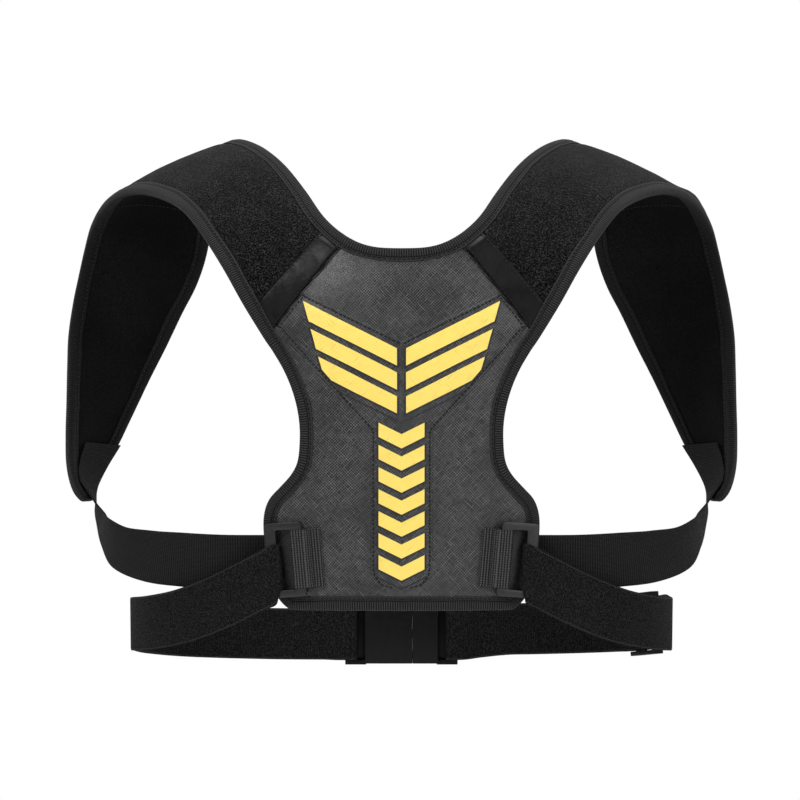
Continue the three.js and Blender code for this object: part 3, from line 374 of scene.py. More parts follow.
# The leather's hatch, the shade under the rings and the printed chevrons
HATCH_PITCH = 1.5
HATCH_LENGTH = 9.0
HATCH_WOBBLE = 5.0
RING_SHADE = dict(x=82.5, z=-288, half_width=6, half_height=22, fade=3, depth=0.75)
PRINT_SLOPE = 0.505
PRINT_SIDE = 63
PRINT_SIDE_LEVEL = -128
PRINT_SIDE_SLANT = 0.28
PRINT_MARGIN = 5
SPLIT_HALF = 3.2
WING_SEAM_FOOT = (25.2, -195)
WING_SEAM_SLOPE = 1.155
WING_BANDS = dict(top=-137.5, pitch=17, width=12.5, count=3)
COLUMN_BANDS = dict(top=-197, pitch=16, width=10.5, count=7)
COLUMN_HALF = 16.5
OUTLINE = 1.5
INK_EDGE = 0.25
YELLOW = (0.87, 0.655, 0.135)
YELLOW_SHADE = (0.76, 0.55, 0.10)
OUTLINE_COLOUR = (0.006, 0.006, 0.012)

# Stage, lamps and camera, in metres
FLOOR_HALF = 2.45
FLOOR_LEVEL = -0.75
FLOOR_TONES = [(0.86, 0.86, 0.86), (0.88, 0.88, 0.88)]
FLOOR_ROUGHNESS = 0.7
LAMP_AIM = (0, 0, -0.17)
LAMPS = [
    ("key", (-1.3, -2.0, 1.5), (1.0, 1.0), 42),
    ("fill", (1.7, -1.9, 0.7), (1.0, 1.4), 24),
    ("top", (0.0, 0.2, 1.9), (1.4, 1.2), 34),
    ("rim_left", (-1.6, 1.3, 0.6), (0.8, 1.4), 16),
    ("rim_right", (1.6, 1.3, 0.6), (0.8, 1.4), 16),
]
SIDE_LIGHT = 0.4
BACK_LIGHT = 1.0
BACK_LIGHT_FROM = (0.75, 0.93)
CAMERA_PLACE = (-0.0011, -2.71, -0.173)
CAMERA_LENS = 162.5
CAMERA_SENSOR = 36


def unit(a):
    return a / np.maximum(np.linalg.norm(a, axis=-1, keepdims=True), 1e-12)


def smooth(a):
    a = np.clip(a, 0, 1)
    return a * a * (3 - 2 * a)


def curve(rows, t, before=None):
    """A uniform Catmull-Rom curve through rows of numbers; t counts rows."""
    rows = np.asarray(rows, float)
    first = 2 * rows[0] - rows[1] if before is None else np.asarray(before, float)
    padded = np.vstack([first, rows, 2 * rows[-1] - rows[-2]])
    t = np.asarray(t, float)
    i = np.clip(np.floor(t).astype(int), 0, len(rows) - 2)
    f = (t - i)[..., None]
    p0, p1, p2, p3 = (padded[i + k] for k in range(4))
    b = p2 - p0
    c = 2 * p0 - 5 * p1 + 4 * p2 - p3
    d = 3 * p1 - p0 - 3 * p2 + p3
    return (2 * p1 + b * f + c * f * f + d * f**3) / 2


def stations():
    """Ends of each row of the half vest, and how far its middle bows out."""
    inner, outer, bows = [], [], []
    for r in PANEL_ROWS:
        y = r["back"] * CHEST_DEPTH
        half = PANEL_WAIST / 2 + r["flare"] * (PANEL_WIDTH - PANEL_WAIST) / 2
        inner.append([r["open"] * NECK_DIP_WIDTH / 2, y, HEM_LEVEL + r["mid"] * PANEL_HEIGHT])
        outer.append([half, y + r["wrap"] * CHEST_DEPTH, HEM_LEVEL + r["edge"] * PANEL_HEIGHT])
        bows.append([r["bow"] * CHEST_DEPTH])
    for r in STRAP_ROWS:
        middle = np.array([r["out"] * SHOULDER_SPAN / 2, r["fore"] * CHEST_DEPTH, r["up"] * STRAP_DROP])
        reach = unit(np.array([r["ax"], r["ay"], r["az"]])) * r["wide"] * STRAP_WIDTH / 2
        inner.append(middle - reach)
        outer.append(middle + reach)
        bows.append([r["bow"] * STRAP_WIDTH])
    return np.array(inner, float), np.array(outer, float), np.array(bows, float)


INNER, OUTER, BOWS = stations()


def inner_end(s):
    s = np.asarray(s, float)
    low = curve(INNER[: NECK_ROW + 1], np.minimum(s, NECK_ROW))
    x, y, z = INNER[NECK_ROW + 1]
    high = curve(INNER[NECK_ROW:], np.maximum(s - NECK_ROW, 0), before=(-x, y, z))
    return np.where((s <= NECK_ROW)[..., None], low, high)


def outer_end(s):
    x, y, z = OUTER[0]
    share = 1 - BINDING_WIDTH / x
    depth = INNER[0][1]
    return curve(OUTER, s, before=(x * share, depth + (y - depth) * share * share, z))


def chord(s, v):
    v = np.asarray(v, float)[..., None]
    return inner_end(s) * (1 - v) + outer_end(s) * v


def paired(s, v):
    """Two places as arrays of one shape."""
    return np.broadcast_arrays(np.asarray(s, float), np.asarray(v, float))


def body_point(s, v):
    """A point of the vest's middle surface: s counts rows from the hem, v runs from neck side to arm side."""
    s, v = paired(s, v)
    middle = np.full_like(s, 0.5)
    along = chord(np.minimum(s + BOW_STEP, LAST_ROW), middle) - chord(np.maximum(s - BOW_STEP, 0), middle)
    across = outer_end(s) - inner_end(s)
    bow = curve(BOWS, s)[..., 0] * 4 * v * (1 - v)
    return chord(s, v) + unit(np.cross(across, along)) * bow[..., None]


def slopes(s, v):
    """Steps of the surface along its rows and across them."""
    s, v = paired(s, v)
    s0, s1 = np.maximum(s - SLOPE_STEP, 0), np.minimum(s + SLOPE_STEP, LAST_ROW)
    v0, v1 = np.maximum(v - SLOPE_STEP, 0), np.minimum(v + SLOPE_STEP, 1)
    along = (body_point(s1, v) - body_point(s0, v)) / (s1 - s0)[..., None]
    across = (body_point(s, v1) - body_point(s, v0)) / (v1 - v0)[..., None]
    return along, across


def body_normal(s, v):
    s, v = paired(s, v)
    along, across = slopes(s, v)
    normal = np.cross(across, along)
    normal[..., 0] = np.where((v == 0) & (s <= NECK_ROW), 0, normal[..., 0])
    return unit(normal)


def nearest_place(target, s, v):
    """The place on the surface nearest to each target, from a first guess."""
    for _ in range(NEAREST_ROUNDS):
        along, across = slopes(s, v)
        miss = target - body_point(s, v)
        a = (along * along).sum(-1)
        b = (along * across).sum(-1)
        c = (across * across).sum(-1)
        p = (miss * along).sum(-1)
        q = (miss * across).sum(-1)
        fold = a * c - b * b
        s = np.clip(s + (c * p - b * q) / fold, 0, LAST_ROW)
        v = np.clip(v + (a * q - b * p) / fold, 0, 1)
    return s, v


def panel_place(x, z):
    """The place of the panel at a distance from the centre line and a height."""
    x, z = np.asarray(x, float), np.asarray(z, float)
    s = np.clip((z - HEM_LEVEL) / PANEL_HEIGHT * NECK_ROW, 0, SEAM_ROW)
    v = np.minimum(x / outer_end(s)[..., 0], 1)
    for _ in range(PANEL_ROUNDS):
        along, across = slopes(s, v)
        here = body_point(s, v)
        p, q = x - here[..., 0], z - here[..., 2]
        fold = along[..., 0] * across[..., 2] - along[..., 2] * across[..., 0]
        s, v = (
            np.clip(s + (p * across[..., 2] - q * across[..., 0]) / fold, 0, SEAM_ROW),
            np.clip(v + (along[..., 0] * q - along[..., 2] * p) / fold, 0, 1),
        )
    return s, v


def tip_share(s):
    """Narrows the strap's last few millimetres so that its lower end has round corners."""
    run = np.linalg.norm(body_point(LAST_ROW, 0.5) - body_point(LAST_ROW - 1, 0.5))
    half = np.linalg.norm(chord(LAST_ROW, 1) - chord(LAST_ROW, 0)) / 2
    t = np.clip((LAST_ROW - np.asarray(s, float)) * run / TIP_ROUND, 0, 1)
    return 1 - TIP_ROUND / half * (1 - np.sqrt(1 - (1 - t) ** 2))


def tipped(s, u):
    return 0.5 + (u - 0.5) * tip_share(s)


def arc_length(points):
    return np.concatenate([[0], np.cumsum(np.linalg.norm(np.diff(points, axis=0), axis=1))])


def resampled(points, step):
    """Even stations along a path, as fractional indices."""
    run = arc_length(points)
    count = max(int(round(run[-1] / step)), 2)
    return np.interp(np.linspace(0, run[-1], count + 1), run, np.arange(len(points)))


def read_at(places, run, rows):
    """Rows of numbers, read off at some places of their run."""
    return np.stack([np.interp(places, run, column) for column in rows.T], 1)


# Objects


def new_object(name, points, faces, materials, slots=None, cloth=None, smooth_shade=True):
    mesh = bpy.data.meshes.new(name)
    mesh.from_pydata((np.asarray(points) * METRES).tolist(), [], [list(map(int, f)) for f in faces])
    for material in materials:
        mesh.materials.append(material)
    if slots is not None:
        mesh.polygons.foreach_set("material_index", np.asarray(slots, np.int32))
    if smooth_shade:
        mesh.polygons.foreach_set("use_smooth", np.ones(len(mesh.polygons), bool))
    if cloth is not None:
        layer = mesh.attributes.new("cloth", "FLOAT_VECTOR", "POINT")
        layer.data.foreach_set("vector", np.asarray(cloth, np.float32).ravel())
    mesh.validate()
    mesh.update()
    made = bpy.data.objects.new(name, mesh)
    bpy.context.scene.collection.objects.link(made)
    return made


def place_piece(piece, nodes):
    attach(piece, "root")
    if nodes:
        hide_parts(*nodes)
    return piece


def grid_cells(rows, columns):
    a = np.arange(rows - 1)[:, None] * columns + np.arange(columns - 1)[None, :]
    return np.stack([a, a + 1, a + columns + 1, a + columns], -1).reshape(-1, 4)


def turned(side):
    """What leaves the right half as it is or turns it into the left one."""
    return np.array([side, 1.0, 1.0])


def both_halves(outer, inner, cloth, cells):
    """The right half and its mirror image, joined where points coincide along the centre line."""
    cells = np.vstack([cells, cells[:, ::-1] + len(outer)])
    outer, inner, cloth = (np.vstack([half, half * MIRROR]) for half in (outer, inner, cloth))
    _, first, back = np.unique(np.round(outer, 4), axis=0, return_index=True, return_inverse=True)
    return outer[first], inner[first], cloth[first], back.ravel()[cells]


def shell(name, outer, inner, cells, materials, cloth):
    """A closed sheet between an outer and an inner face, walled along its free edges."""
    count = len(outer)
    edges = {}
    for a, b, c, d in cells.tolist():
        for edge in ((a, b), (b, c), (c, d), (d, a)):
            if edge[::-1] in edges:
                del edges[edge[::-1]]
            else:
                edges[edge] = True
    walls = [[a, b, b + count, a + count] for a, b in edges]
    faces = cells[:, ::-1].tolist() + (cells + count).tolist() + walls
    slots = [0] * len(cells) + [len(materials) - 1] * len(cells) + [0] * len(walls)
    return new_object(name, np.vstack([outer, inner]), faces, materials, slots, np.vstack([cloth, cloth]))


def facing_out(piece):
    """Turns every face outward."""
    work = bmesh.new()
    work.from_mesh(piece.data)
    bmesh.ops.recalc_face_normals(work, faces=work.faces)
    work.to_mesh(piece.data)
    work.free()
    piece.data.update()
    return piece


def ripple(points, size, seed):
    """Slow soft noise at each point, about -1 to 1."""
    shift = Vector((seed * 7.3, seed * 3.1, seed * 5.7))
    return np.array([noise.noise(Vector(p) / size + shift) for p in points.tolist()])


def waves(points, form, seed):
    """Ripples of one form, which is a size and a height in millimetres."""
    return form["height"] * ripple(points, form["size"], seed)


# Materials, all from nodes


class Nodes:
    """Short calls for building one material."""

    def __init__(self, name):
        self.material = bpy.data.materials.new(name)
        self.material.use_nodes = True
        self.tree = self.material.node_tree
        self.shader = self.tree.nodes["Principled BSDF"]

    def link(self, source, target):
        self.tree.links.new(source, target)

    def feed(self, socket, value):
        if isinstance(value, bpy.types.NodeSocket):
            self.link(value, socket)
        else:
            socket.default_value = value

    def feed_colour(self, socket, value):
        self.feed(socket, value if isinstance(value, bpy.types.NodeSocket) else (*value, 1.0))

    def math(self, operation, *values):
        node = self.tree.nodes.new("ShaderNodeMath")
        node.operation = operation
        for socket, value in zip(node.inputs, values):
            self.feed(socket, value)
        return node.outputs[0]

    def plus(self, a, b):
        return self.math("ADD", a, b)

    def minus(self, a, b):
        return self.math("SUBTRACT", a, b)

    def times(self, a, b):
        return self.math("MULTIPLY", a, b)

    def over(self, a, b):
        return self.math("DIVIDE", a, b)

    def least(self, a, b):
        return self.math("MINIMUM", a, b)

    def most(self, a, b):
        return self.math("MAXIMUM", a, b)

    def size(self, a):
        return self.math("ABSOLUTE", a)

    def line(self, a, slope, rise):
        return self.math("MULTIPLY_ADD", a, slope, rise)

    def off(self, a, b):
        """How far a number is from another."""
        return self.size(self.minus(a, b))

    def wave(self, a, pitch, shift=0.0):
        """A sine of that pitch, from -1 to 1."""
        return self.math("SINE", self.line(a, 2 * math.pi / pitch, shift))

    def place(self):
        """Object coordinates in millimetres."""
        source = self.tree.nodes.new("ShaderNodeTexCoord")
        scale = self.tree.nodes.new("ShaderNodeVectorMath")
        scale.operation = "SCALE"
        scale.inputs["Scale"].default_value = 1 / METRES
        self.link(source.outputs["Object"], scale.inputs[0])
        return scale.outputs[0]

    def cloth(self):
        """The cloth's own coordinates in millimetres: along, across and a third number."""
        source = self.tree.nodes.new("ShaderNodeAttribute")
        source.attribute_name = "cloth"
        return self.apart(source.outputs["Vector"])

    def apart(self, vector):
        node = self.tree.nodes.new("ShaderNodeSeparateXYZ")
        self.link(vector, node.inputs[0])
        return node.outputs

    def joined(self, x, y, z):
        node = self.tree.nodes.new("ShaderNodeCombineXYZ")
        for socket, value in zip(node.inputs, (x, y, z)):
            self.feed(socket, value)
        return node.outputs[0]

    def noise(self, vector, scale, detail=2.0, rough=0.5):
        node = self.tree.nodes.new("ShaderNodeTexNoise")
        node.inputs["Scale"].default_value = scale
        node.inputs["Detail"].default_value = detail
        node.inputs["Roughness"].default_value = rough
        self.link(vector, node.inputs["Vector"])
        return node.outputs["Fac"]

    def ramp(self, value, low, high, a=0.0, b=1.0):
        """A soft step from a at low to b at high."""
        node = self.tree.nodes.new("ShaderNodeMapRange")
        node.interpolation_type = "SMOOTHSTEP"
        self.feed(node.inputs[0], value)
        for k, number in enumerate((low, high, a, b)):
            node.inputs[k + 1].default_value = number
        return node.outputs[0]

    def mix(self, share, a, b):
        node = self.tree.nodes.new("ShaderNodeMix")
        node.data_type = "RGBA"
        self.feed(node.inputs[0], share)
        self.feed_colour(node.inputs[6], a)
        self.feed_colour(node.inputs[7], b)
        return node.outputs[2]

    def toned(self, share, name):
        """A grey between a material's darkest and lightest."""
        return self.mix(share, *map(grey, TONES[name]))

    def mix_value(self, share, a, b):
        """A number between a and b."""
        return self.plus(self.times(self.minus(b, a), share), a)

    def bump(self, height, distance, strength):
        """Relief from a height of 0 to 1, that many millimetres deep."""
        node = self.tree.nodes.new("ShaderNodeBump")
        node.inputs["Distance"].default_value = distance * METRES
        node.inputs["Strength"].default_value = strength
        self.link(height, node.inputs["Height"])
        return node.outputs[0]

    def finish(self, colour, rough, relief=None, specular=0.5, sheen=0.0, sheen_rough=0.5):
        s = self.shader.inputs
        self.feed_colour(s["Base Color"], colour)
        self.feed(s["Roughness"], rough)
        s["Specular IOR Level"].default_value = specular
        s["Sheen Weight"].default_value = sheen
        s["Sheen Roughness"].default_value = sheen_rough
        if relief is not None:
            self.link(relief, s["Normal"])
        return self.material


def grey(value):
    return (value, value, value * 1.03)


def velour():
    """Brushed loops: fine dark grain with lighter fibre ends."""
    n = Nodes("velour")
    place = n.place()
    grain = n.noise(place, 0.92, 3.0, 0.65)
    cloud = n.noise(place, 0.05)
    tone = n.times(n.ramp(grain, 0.45, 0.68), n.ramp(cloud, 0.3, 0.7, 0.65))
    return n.finish(n.toned(tone, "velour"), 0.95, n.bump(grain, 2.0, 1.0), specular=0.05, sheen=0.06,
                    sheen_rough=0.35)


def ruled(n, place, x, y, seed):
    """Fine lines one way, a little uneven, that fade in and out along their length; a few are lifted far
    brighter as painted glints.
    """
    wobble = n.times(n.noise(place, 0.12), HATCH_WOBBLE)
    line = n.wave(y, HATCH_PITCH, wobble)
    run = n.joined(n.over(x, HATCH_LENGTH), n.over(y, HATCH_PITCH), seed)
    streaks = n.noise(run, 1.0, 1.0)
    # The second ramp lifts a few lines far above the rest: painted glints on the hatch.
    strength = n.plus(n.ramp(streaks, 0.3, 0.62, 0.15, 0.75), n.ramp(streaks, 0.62, 0.74, 0.0, 1.3))
    return n.times(n.ramp(line, 0.25, 0.95), strength)


def hatch(n, x, y):
    """Two crossing families of fine embossed lines on the diagonals of the cloth's own coordinates."""
    place = n.place()
    p = n.times(n.plus(x, y), math.sqrt(0.5))
    q = n.times(n.minus(x, y), math.sqrt(0.5))
    return n.most(ruled(n, place, p, q, 3.0), ruled(n, place, q, p, 11.0))


def ring_shade(n, place):
    """What is left of the tone: all of it, and less under the two rings."""
    across, _, up = n.apart(place)
    wide, high, fade = (RING_SHADE[key] for key in ("half_width", "half_height", "fade"))
    beside = n.ramp(n.off(n.size(across), RING_SHADE["x"]), wide, wide + fade, RING_SHADE["depth"], 0.0)
    level = n.ramp(n.off(up, RING_SHADE["z"]), high, high + fade, 1.0, 0.0)
    return n.minus(1.0, n.times(beside, level))


def embossed(name, print_over=False):
    """Cross-hatched leatherette, with the printed chevrons on the pocket."""
    n = Nodes(name)
    x, y, _ = n.cloth()
    lines = hatch(n, x, y)
    place = n.place()
    cloud = n.noise(place, 0.03)
    tone = n.times(n.times(lines, n.ramp(cloud, 0.35, 0.65, 0.6, 1.05)), ring_shade(n, place))
    colour = n.toned(tone, "leather")
    rough = n.ramp(cloud, 0.3, 0.7, 0.32, 0.48)
    if print_over:
        colour, rough = printed(n, colour, rough, lines, x, y)
    return n.finish(colour, rough, n.bump(lines, 0.3, 0.7), specular=0.36)


def bands(n, level, top, pitch, width, count):
    """How deep a place lies inside the nearest of some bands, one under another."""
    depth = n.minus(top, level)
    cycle = n.times(n.math("FRACT", n.over(depth, pitch)), pitch)
    inside = n.minus(width / 2, n.off(cycle, width / 2))
    return n.least(inside, n.least(depth, n.minus(count * pitch, depth)))


def printed(n, colour, rough, lines, x, y):
    """Plain nested chevrons: wide ones across the wings, then short ones down the column."""
    side = n.size(x)
    level = n.minus(y, n.times(side, PRINT_SLOPE))
    slant = n.line(y, PRINT_SIDE_SLANT, PRINT_SIDE - PRINT_SIDE_LEVEL * PRINT_SIDE_SLANT)
    seam_x, seam_y = WING_SEAM_FOOT
    rise = n.line(side, -WING_SEAM_SLOPE, seam_x * WING_SEAM_SLOPE - seam_y)
    foot = n.over(n.plus(y, rise), math.hypot(1, WING_SEAM_SLOPE))
    wing = bands(n, level, **WING_BANDS)
    for limit in (n.minus(side, SPLIT_HALF), n.minus(slant, side), n.minus(foot, PRINT_MARGIN)):
        wing = n.least(wing, limit)
    column = n.least(bands(n, level, **COLUMN_BANDS), n.minus(COLUMN_HALF, side))
    cover = n.most(wing, column)
    ink = n.ramp(cover, 0.0, INK_EDGE)
    line = n.ramp(cover, -OUTLINE, INK_EDGE - OUTLINE)
    yellow = n.mix(n.times(lines, 0.6), YELLOW, YELLOW_SHADE)
    return n.mix(ink, n.mix(line, colour, OUTLINE_COLOUR), yellow), n.line(ink, 0.1, rough)


def lining():
    """Smooth dark foam-backed cloth."""
    n = Nodes("lining")
    place = n.place()
    grain = n.noise(place, 1.6, 2.0, 0.6)
    cloud = n.noise(place, 0.02)
    tone = n.times(n.ramp(grain, 0.4, 0.65), n.ramp(cloud, 0.3, 0.7, 0.5))
    return n.finish(n.toned(tone, "lining"), 0.9, n.bump(grain, 0.35, 0.5), specular=0.05)


def gloss():
    """Smooth shiny leatherette with soft uneven wrinkles."""
    n = Nodes("gloss")
    place = n.place()
    soft = n.noise(place, 0.09, 3.0, 0.55)
    height = n.plus(soft, n.times(n.noise(place, 0.9), 0.06))
    rough = n.ramp(soft, 0.3, 0.7, 0.3, 0.5)
    return n.finish(n.toned(soft, "gloss"), rough, n.bump(height, 2.0, 0.35), specular=0.1)


def ribbed(name, pitch, depth, specular, dots=0.0, hem=False):
    """Tape with ribs across its run; dots breaks them up, hem adds the tape's sewn-down inner edge with
    painted shade along its fold and in its stitch dents, and painted shade over the tape's lining side.
    """
    n = Nodes(name)
    x, y, under = n.cloth()
    place = n.place()
    wobble = n.times(n.noise(place, 0.25), 1.4)
    ribs = n.line(n.wave(x, pitch, wobble), 0.5, 0.5)
    fine = n.noise(place, 2.4, 2.0, 0.6)
    if dots:
        ribs = n.times(ribs, n.line(n.wave(y, dots), 0.3, 0.7))
    if hem:
        edge = n.ramp(y, TAPE_HEM, TAPE_HEM + 0.4)
        # Dark dashes at the stitch line and a dark line along the fold: painted shade in the stitch dents and
        # in the fold.
        dash = n.ramp(n.wave(x, STITCH_PITCH), -0.2, 0.3)
        near = n.ramp(n.off(y, TAPE_STITCH), 0.45, 0.7, 1.0, 0.0)
        fold = n.ramp(n.off(y, TAPE_HEM), 0.1, 0.5, 1.0, 0.0)
        shade = n.most(n.times(near, dash), fold)
        ribs = n.times(n.mix_value(edge, TAPE_STRIP, ribs), n.minus(1.0, shade))
    height = n.plus(ribs, n.times(fine, 0.5))
    if hem:
        # Painted shade: the tape's colour is darkened on its lining side.
        ribs = n.times(ribs, n.line(under, -0.7, 1.0))
    # Lighter rib and dot crests with darker grooves between: partly the weave, partly painted highlight and
    # shade.
    tone = n.times(ribs, n.ramp(fine, 0.3, 0.7, 0.5))
    return n.finish(n.toned(tone, name), 0.85, n.bump(height, depth, 0.8), specular, sheen=0.02,
                    sheen_rough=0.4)


def twill(name, pitch, fuzz, edge=None):
    """Diagonal weave; fuzz is the share of loose fibre over it, edge the half width of a dashed line."""
    n = Nodes(name)
    x, y, _ = n.cloth()
    half = n.times(x, 0.5)
    weave = n.ramp(n.times(n.wave(n.plus(half, y), pitch), n.wave(n.minus(half, y), pitch)), -0.3, 0.6)
    fine = n.ramp(n.noise(n.place(), 1.1, 3.0, 0.65), 0.4, 0.65)
    height = n.plus(n.times(weave, 0.6), n.times(fine, 0.4))
    tone = n.times(n.line(weave, 1 - 0.6 * fuzz, 0.6 * fuzz), n.line(fine, fuzz, 1 - fuzz))
    colour = n.toned(tone, name)
    if edge is not None:
        dash = n.ramp(n.wave(x, EDGE_LINE_PITCH), -0.3, 0.3, 0.35)
        line = n.times(n.ramp(n.off(n.size(y), edge), 0.1, 0.45, 0.7, 0.0), dash)
        colour = n.mix(line, colour, grey(EDGE_LINE_TONE))
    return n.finish(colour, 0.9, n.bump(height, 0.5, 0.8), specular=0.06)


def plastic(name, specular):
    """Moulded semi-gloss with a faint uneven skin."""
    n = Nodes(name)
    place = n.place()
    soft = n.noise(place, 0.4, 3.0)
    height = n.plus(soft, n.times(n.noise(place, 5.0), 0.3))
    rough = n.ramp(soft, 0.3, 0.7, 0.3, 0.42)
    return n.finish(n.toned(soft, "plastic"), rough, n.bump(height, 0.06, 0.5), specular)


def thread():
    n = Nodes("thread")
    twist = n.noise(n.place(), 3.0)
    return n.finish(n.toned(twist, "thread"), 0.6, n.bump(twist, 0.15, 0.6), specular=0.25)


VELOUR = velour()
LEATHER = embossed("leatherette")
PRINTED = embossed("printed_leatherette", print_over=True)
LINING = lining()
GLOSS = gloss()
TAPE = ribbed("binding", pitch=1.7, depth=0.5, specular=0.12, hem=True)
# The tab's bright rib and dot crests are mostly painted highlights.
TAB = ribbed("tab", pitch=2.1, depth=1.2, specular=0.25, dots=1.7)
WEBBING = twill("webbing", pitch=1.9, fuzz=0.35)
ELASTIC = twill("elastic", pitch=1.8, fuzz=1.0, edge=BELT_WIDTH / 2 - 1.0)
PLASTIC = plastic("plastic", specular=0.5)
DULL_PLASTIC = plastic("dull_plastic", specular=0.12)
THREAD = thread()


# The rim and the binding


def rim_places():
    """Places along the right half of the rim: hem, arm edge, lower end, neck edge."""
    hem = np.linspace(0, 1, RIM_END_STEPS)
    arm = np.linspace(0, LAST_ROW, LAST_ROW * RIM_ROW_STEPS)
    tip = hem[::-1]
    neck = np.linspace(LAST_ROW, NECK_ROW, (LAST_ROW - NECK_ROW) * RIM_ROW_STEPS)
    s = np.concatenate([0 * hem, arm[1:], np.full(len(tip) - 1, LAST_ROW), neck[1:]])
    u = np.concatenate([hem, np.ones(len(arm) - 1), tip[1:], np.zeros(len(neck) - 1)])
    return s, u


def along_smoothed(points, reach):
    """Each point averaged with its neighbours, to ease sharp corners."""
    kernel = np.exp(-0.5 * (np.arange(-3, 4) / reach) ** 2)
    kernel /= kernel.sum()
    padded = np.vstack([points[3:0:-1] * MIRROR, points, points[-2:-5:-1] * MIRROR])
    return np.stack([np.convolve(padded[:, k], kernel, "valid") for k in range(3)], 1)


rim_s, rim_u = rim_places()
rim_line = body_point(rim_s, tipped(rim_s, rim_u))
at = resampled(rim_line, RIM_STEP)
rim_s = np.interp(at, np.arange(len(rim_s)), rim_s)
rim_v = tipped(rim_s, np.interp(at, np.arange(len(rim_u)), rim_u))
RIM = along_smoothed(body_point(rim_s, rim_v), RIM_EASE)
RIM[[0, -1], 0] = 0
RIM_RUN = arc_length(RIM)
RIM_NORMAL = body_normal(rim_s, rim_v)
RIM_NORMAL[[0, -1], 0] = 0
RIM_NORMAL = unit(RIM_NORMAL)
rim_along = np.gradient(RIM, axis=0)
rim_along[0] = (1, 0, 0)
rim_along[-1] = (-1, 0, 0)
RIM_WAY = unit(np.cross(RIM_NORMAL, unit(rim_along)))
rim_tree = kdtree.KDTree(len(RIM))
for number, point in enumerate(RIM.tolist()):
    rim_tree.insert(point, number)
rim_tree.balance()


def rim_distance(points):
    return np.array([rim_tree.find(p)[2] for p in points.tolist()])


def binding_points(share, height):
    """Points of the right half of the binding at a share of its width from the rim."""
    width = np.ones(len(RIM))
    for wave in (TAPE_LONG_WAVE, TAPE_SHORT_WAVE):
        width += wave["share"] * np.sin(RIM_RUN / wave["length"])
    inner = RIM + RIM_WAY * TAPE_WIDTH
    s, v = nearest_place(inner, rim_s, rim_v)
    foot = body_point(s, v)
    foot[[0, -1], 0] = 0
    foot_normal = body_normal(s, v)
    foot_normal[[0, -1], 0] = 0
    reach = (width * share)[:, None]
    normal = unit(RIM_NORMAL * (1 - share) + foot_normal * share)
    return RIM * (1 - reach) + foot * reach + normal * height, normal


def ring_faces(count, size, closed):
    """Faces between rings of points; closed joins the last ring to the first."""
    r = np.arange(count if closed else count - 1)[:, None]
    k = np.arange(size)[None, :]
    following = (r + 1) % count * size
    a, b, c, d = r * size + k, r * size + (k + 1) % size, following + (k + 1) % size, following + k
    return np.stack([a, b, c, d], -1).reshape(-1, 4)


def make_binding():
    skin = BINDING_PROFILE + [(b, -h) for b, h in BINDING_PROFILE[-2::-1]]
    right = np.stack([binding_points(b, h)[0] for b, h in skin + BINDING_INSIDE], 1)
    loop = np.concatenate([right, right[::-1][1:-1] * MIRROR])
    run = np.concatenate([RIM_RUN, 2 * RIM_RUN[-1] - RIM_RUN[::-1][1:-1]])
    across = arc_length(right[len(right) // 3])
    width = across[len(skin) - 1]
    # The third cloth number is 1 on the tape's lining side, where the binding's colour is darkened as painted
    # shade.
    under = smooth((across - width / 2) / 2)
    across = np.minimum(across, np.maximum(width - across, 0))
    cloth = np.stack(np.broadcast_arrays(run[:, None], across[None, :], under[None, :]), -1).reshape(-1, 3)
    faces = ring_faces(*loop.shape[:2], closed=True)
    piece = new_object("binding_tape", loop.reshape(-1, 3), faces, [TAPE], None, cloth)
    place_piece(facing_out(piece), ["edge_binding"])


# Padded body

SEAM_ROW_LENGTH = np.linalg.norm(body_point(SEAM_ROW + 1, 0.5) - body_point(SEAM_ROW, 0.5))


def foam_height(distance, face):
    """The cloth's height above the middle: held low under the binding, full a little way in."""
    return FOAM_EDGE + (face - FOAM_EDGE) * smooth((distance - TAPE_WIDTH + FOAM_UNDER_TAPE) / FOAM_RISE)


def edge_inward(s, u):
    """The way in from the edges of a grid of places; nothing away from the edges."""
    along, across = slopes(s, tipped(s, u))
    along, across = unit(along), unit(across)
    way = np.zeros_like(along)
    square = across - along * (across * along).sum(-1, keepdims=True)
    upright = along - across * (across * along).sum(-1, keepdims=True)
    way += np.where(((u == 0) & (s > NECK_ROW))[..., None], unit(square), 0)
    way += np.where((u == 1)[..., None], -unit(square), 0)
    way += np.where((s == 0)[..., None], unit(upright), 0)
    way += np.where((s == LAST_ROW)[..., None], -unit(upright), 0)
    way += np.where(((u == 0) & (s == NECK_ROW))[..., None], np.array([0, 0, -1.0]), 0)
    return way


def body_grid(rows, columns):
    """Places, points, normals and cells of a grid on the vest's surface."""
    s, u = np.meshgrid(rows, columns, indexing="ij")
    v = tipped(s, u)
    points = body_point(s, v) + edge_inward(s, u) * RIM_INSET
    normals = body_normal(s, v)
    cells = grid_cells(len(rows), len(columns))
    return s.ravel(), u.ravel(), v.ravel(), points.reshape(-1, 3), normals.reshape(-1, 3), cells


def raised(points, normals, height):
    """Points moved that far along their normals."""
    return points + normals * height[:, None]


def even_rows(first, last):
    """Rows about one grid step apart, at the middle or at the arm side, where they are longer."""
    fine = np.linspace(first, last, FINE_STEPS)
    lines = [body_point(fine, np.full_like(fine, v)) for v in (0.5, 1)]
    steps = np.maximum(*(np.linalg.norm(np.diff(line, axis=0), axis=1) for line in lines))
    run = np.concatenate([[0], np.cumsum(steps)])
    return np.interp(np.linspace(0, run[-1], int(round(run[-1] / GRID)) + 1), run, fine)


def seam_dip(s):
    """1 at the seam between panel and strap, fading away from it."""
    return np.exp(-(((s - SEAM_ROW) * ROW_LENGTH / SEAM_DIP_WIDTH) ** 2))


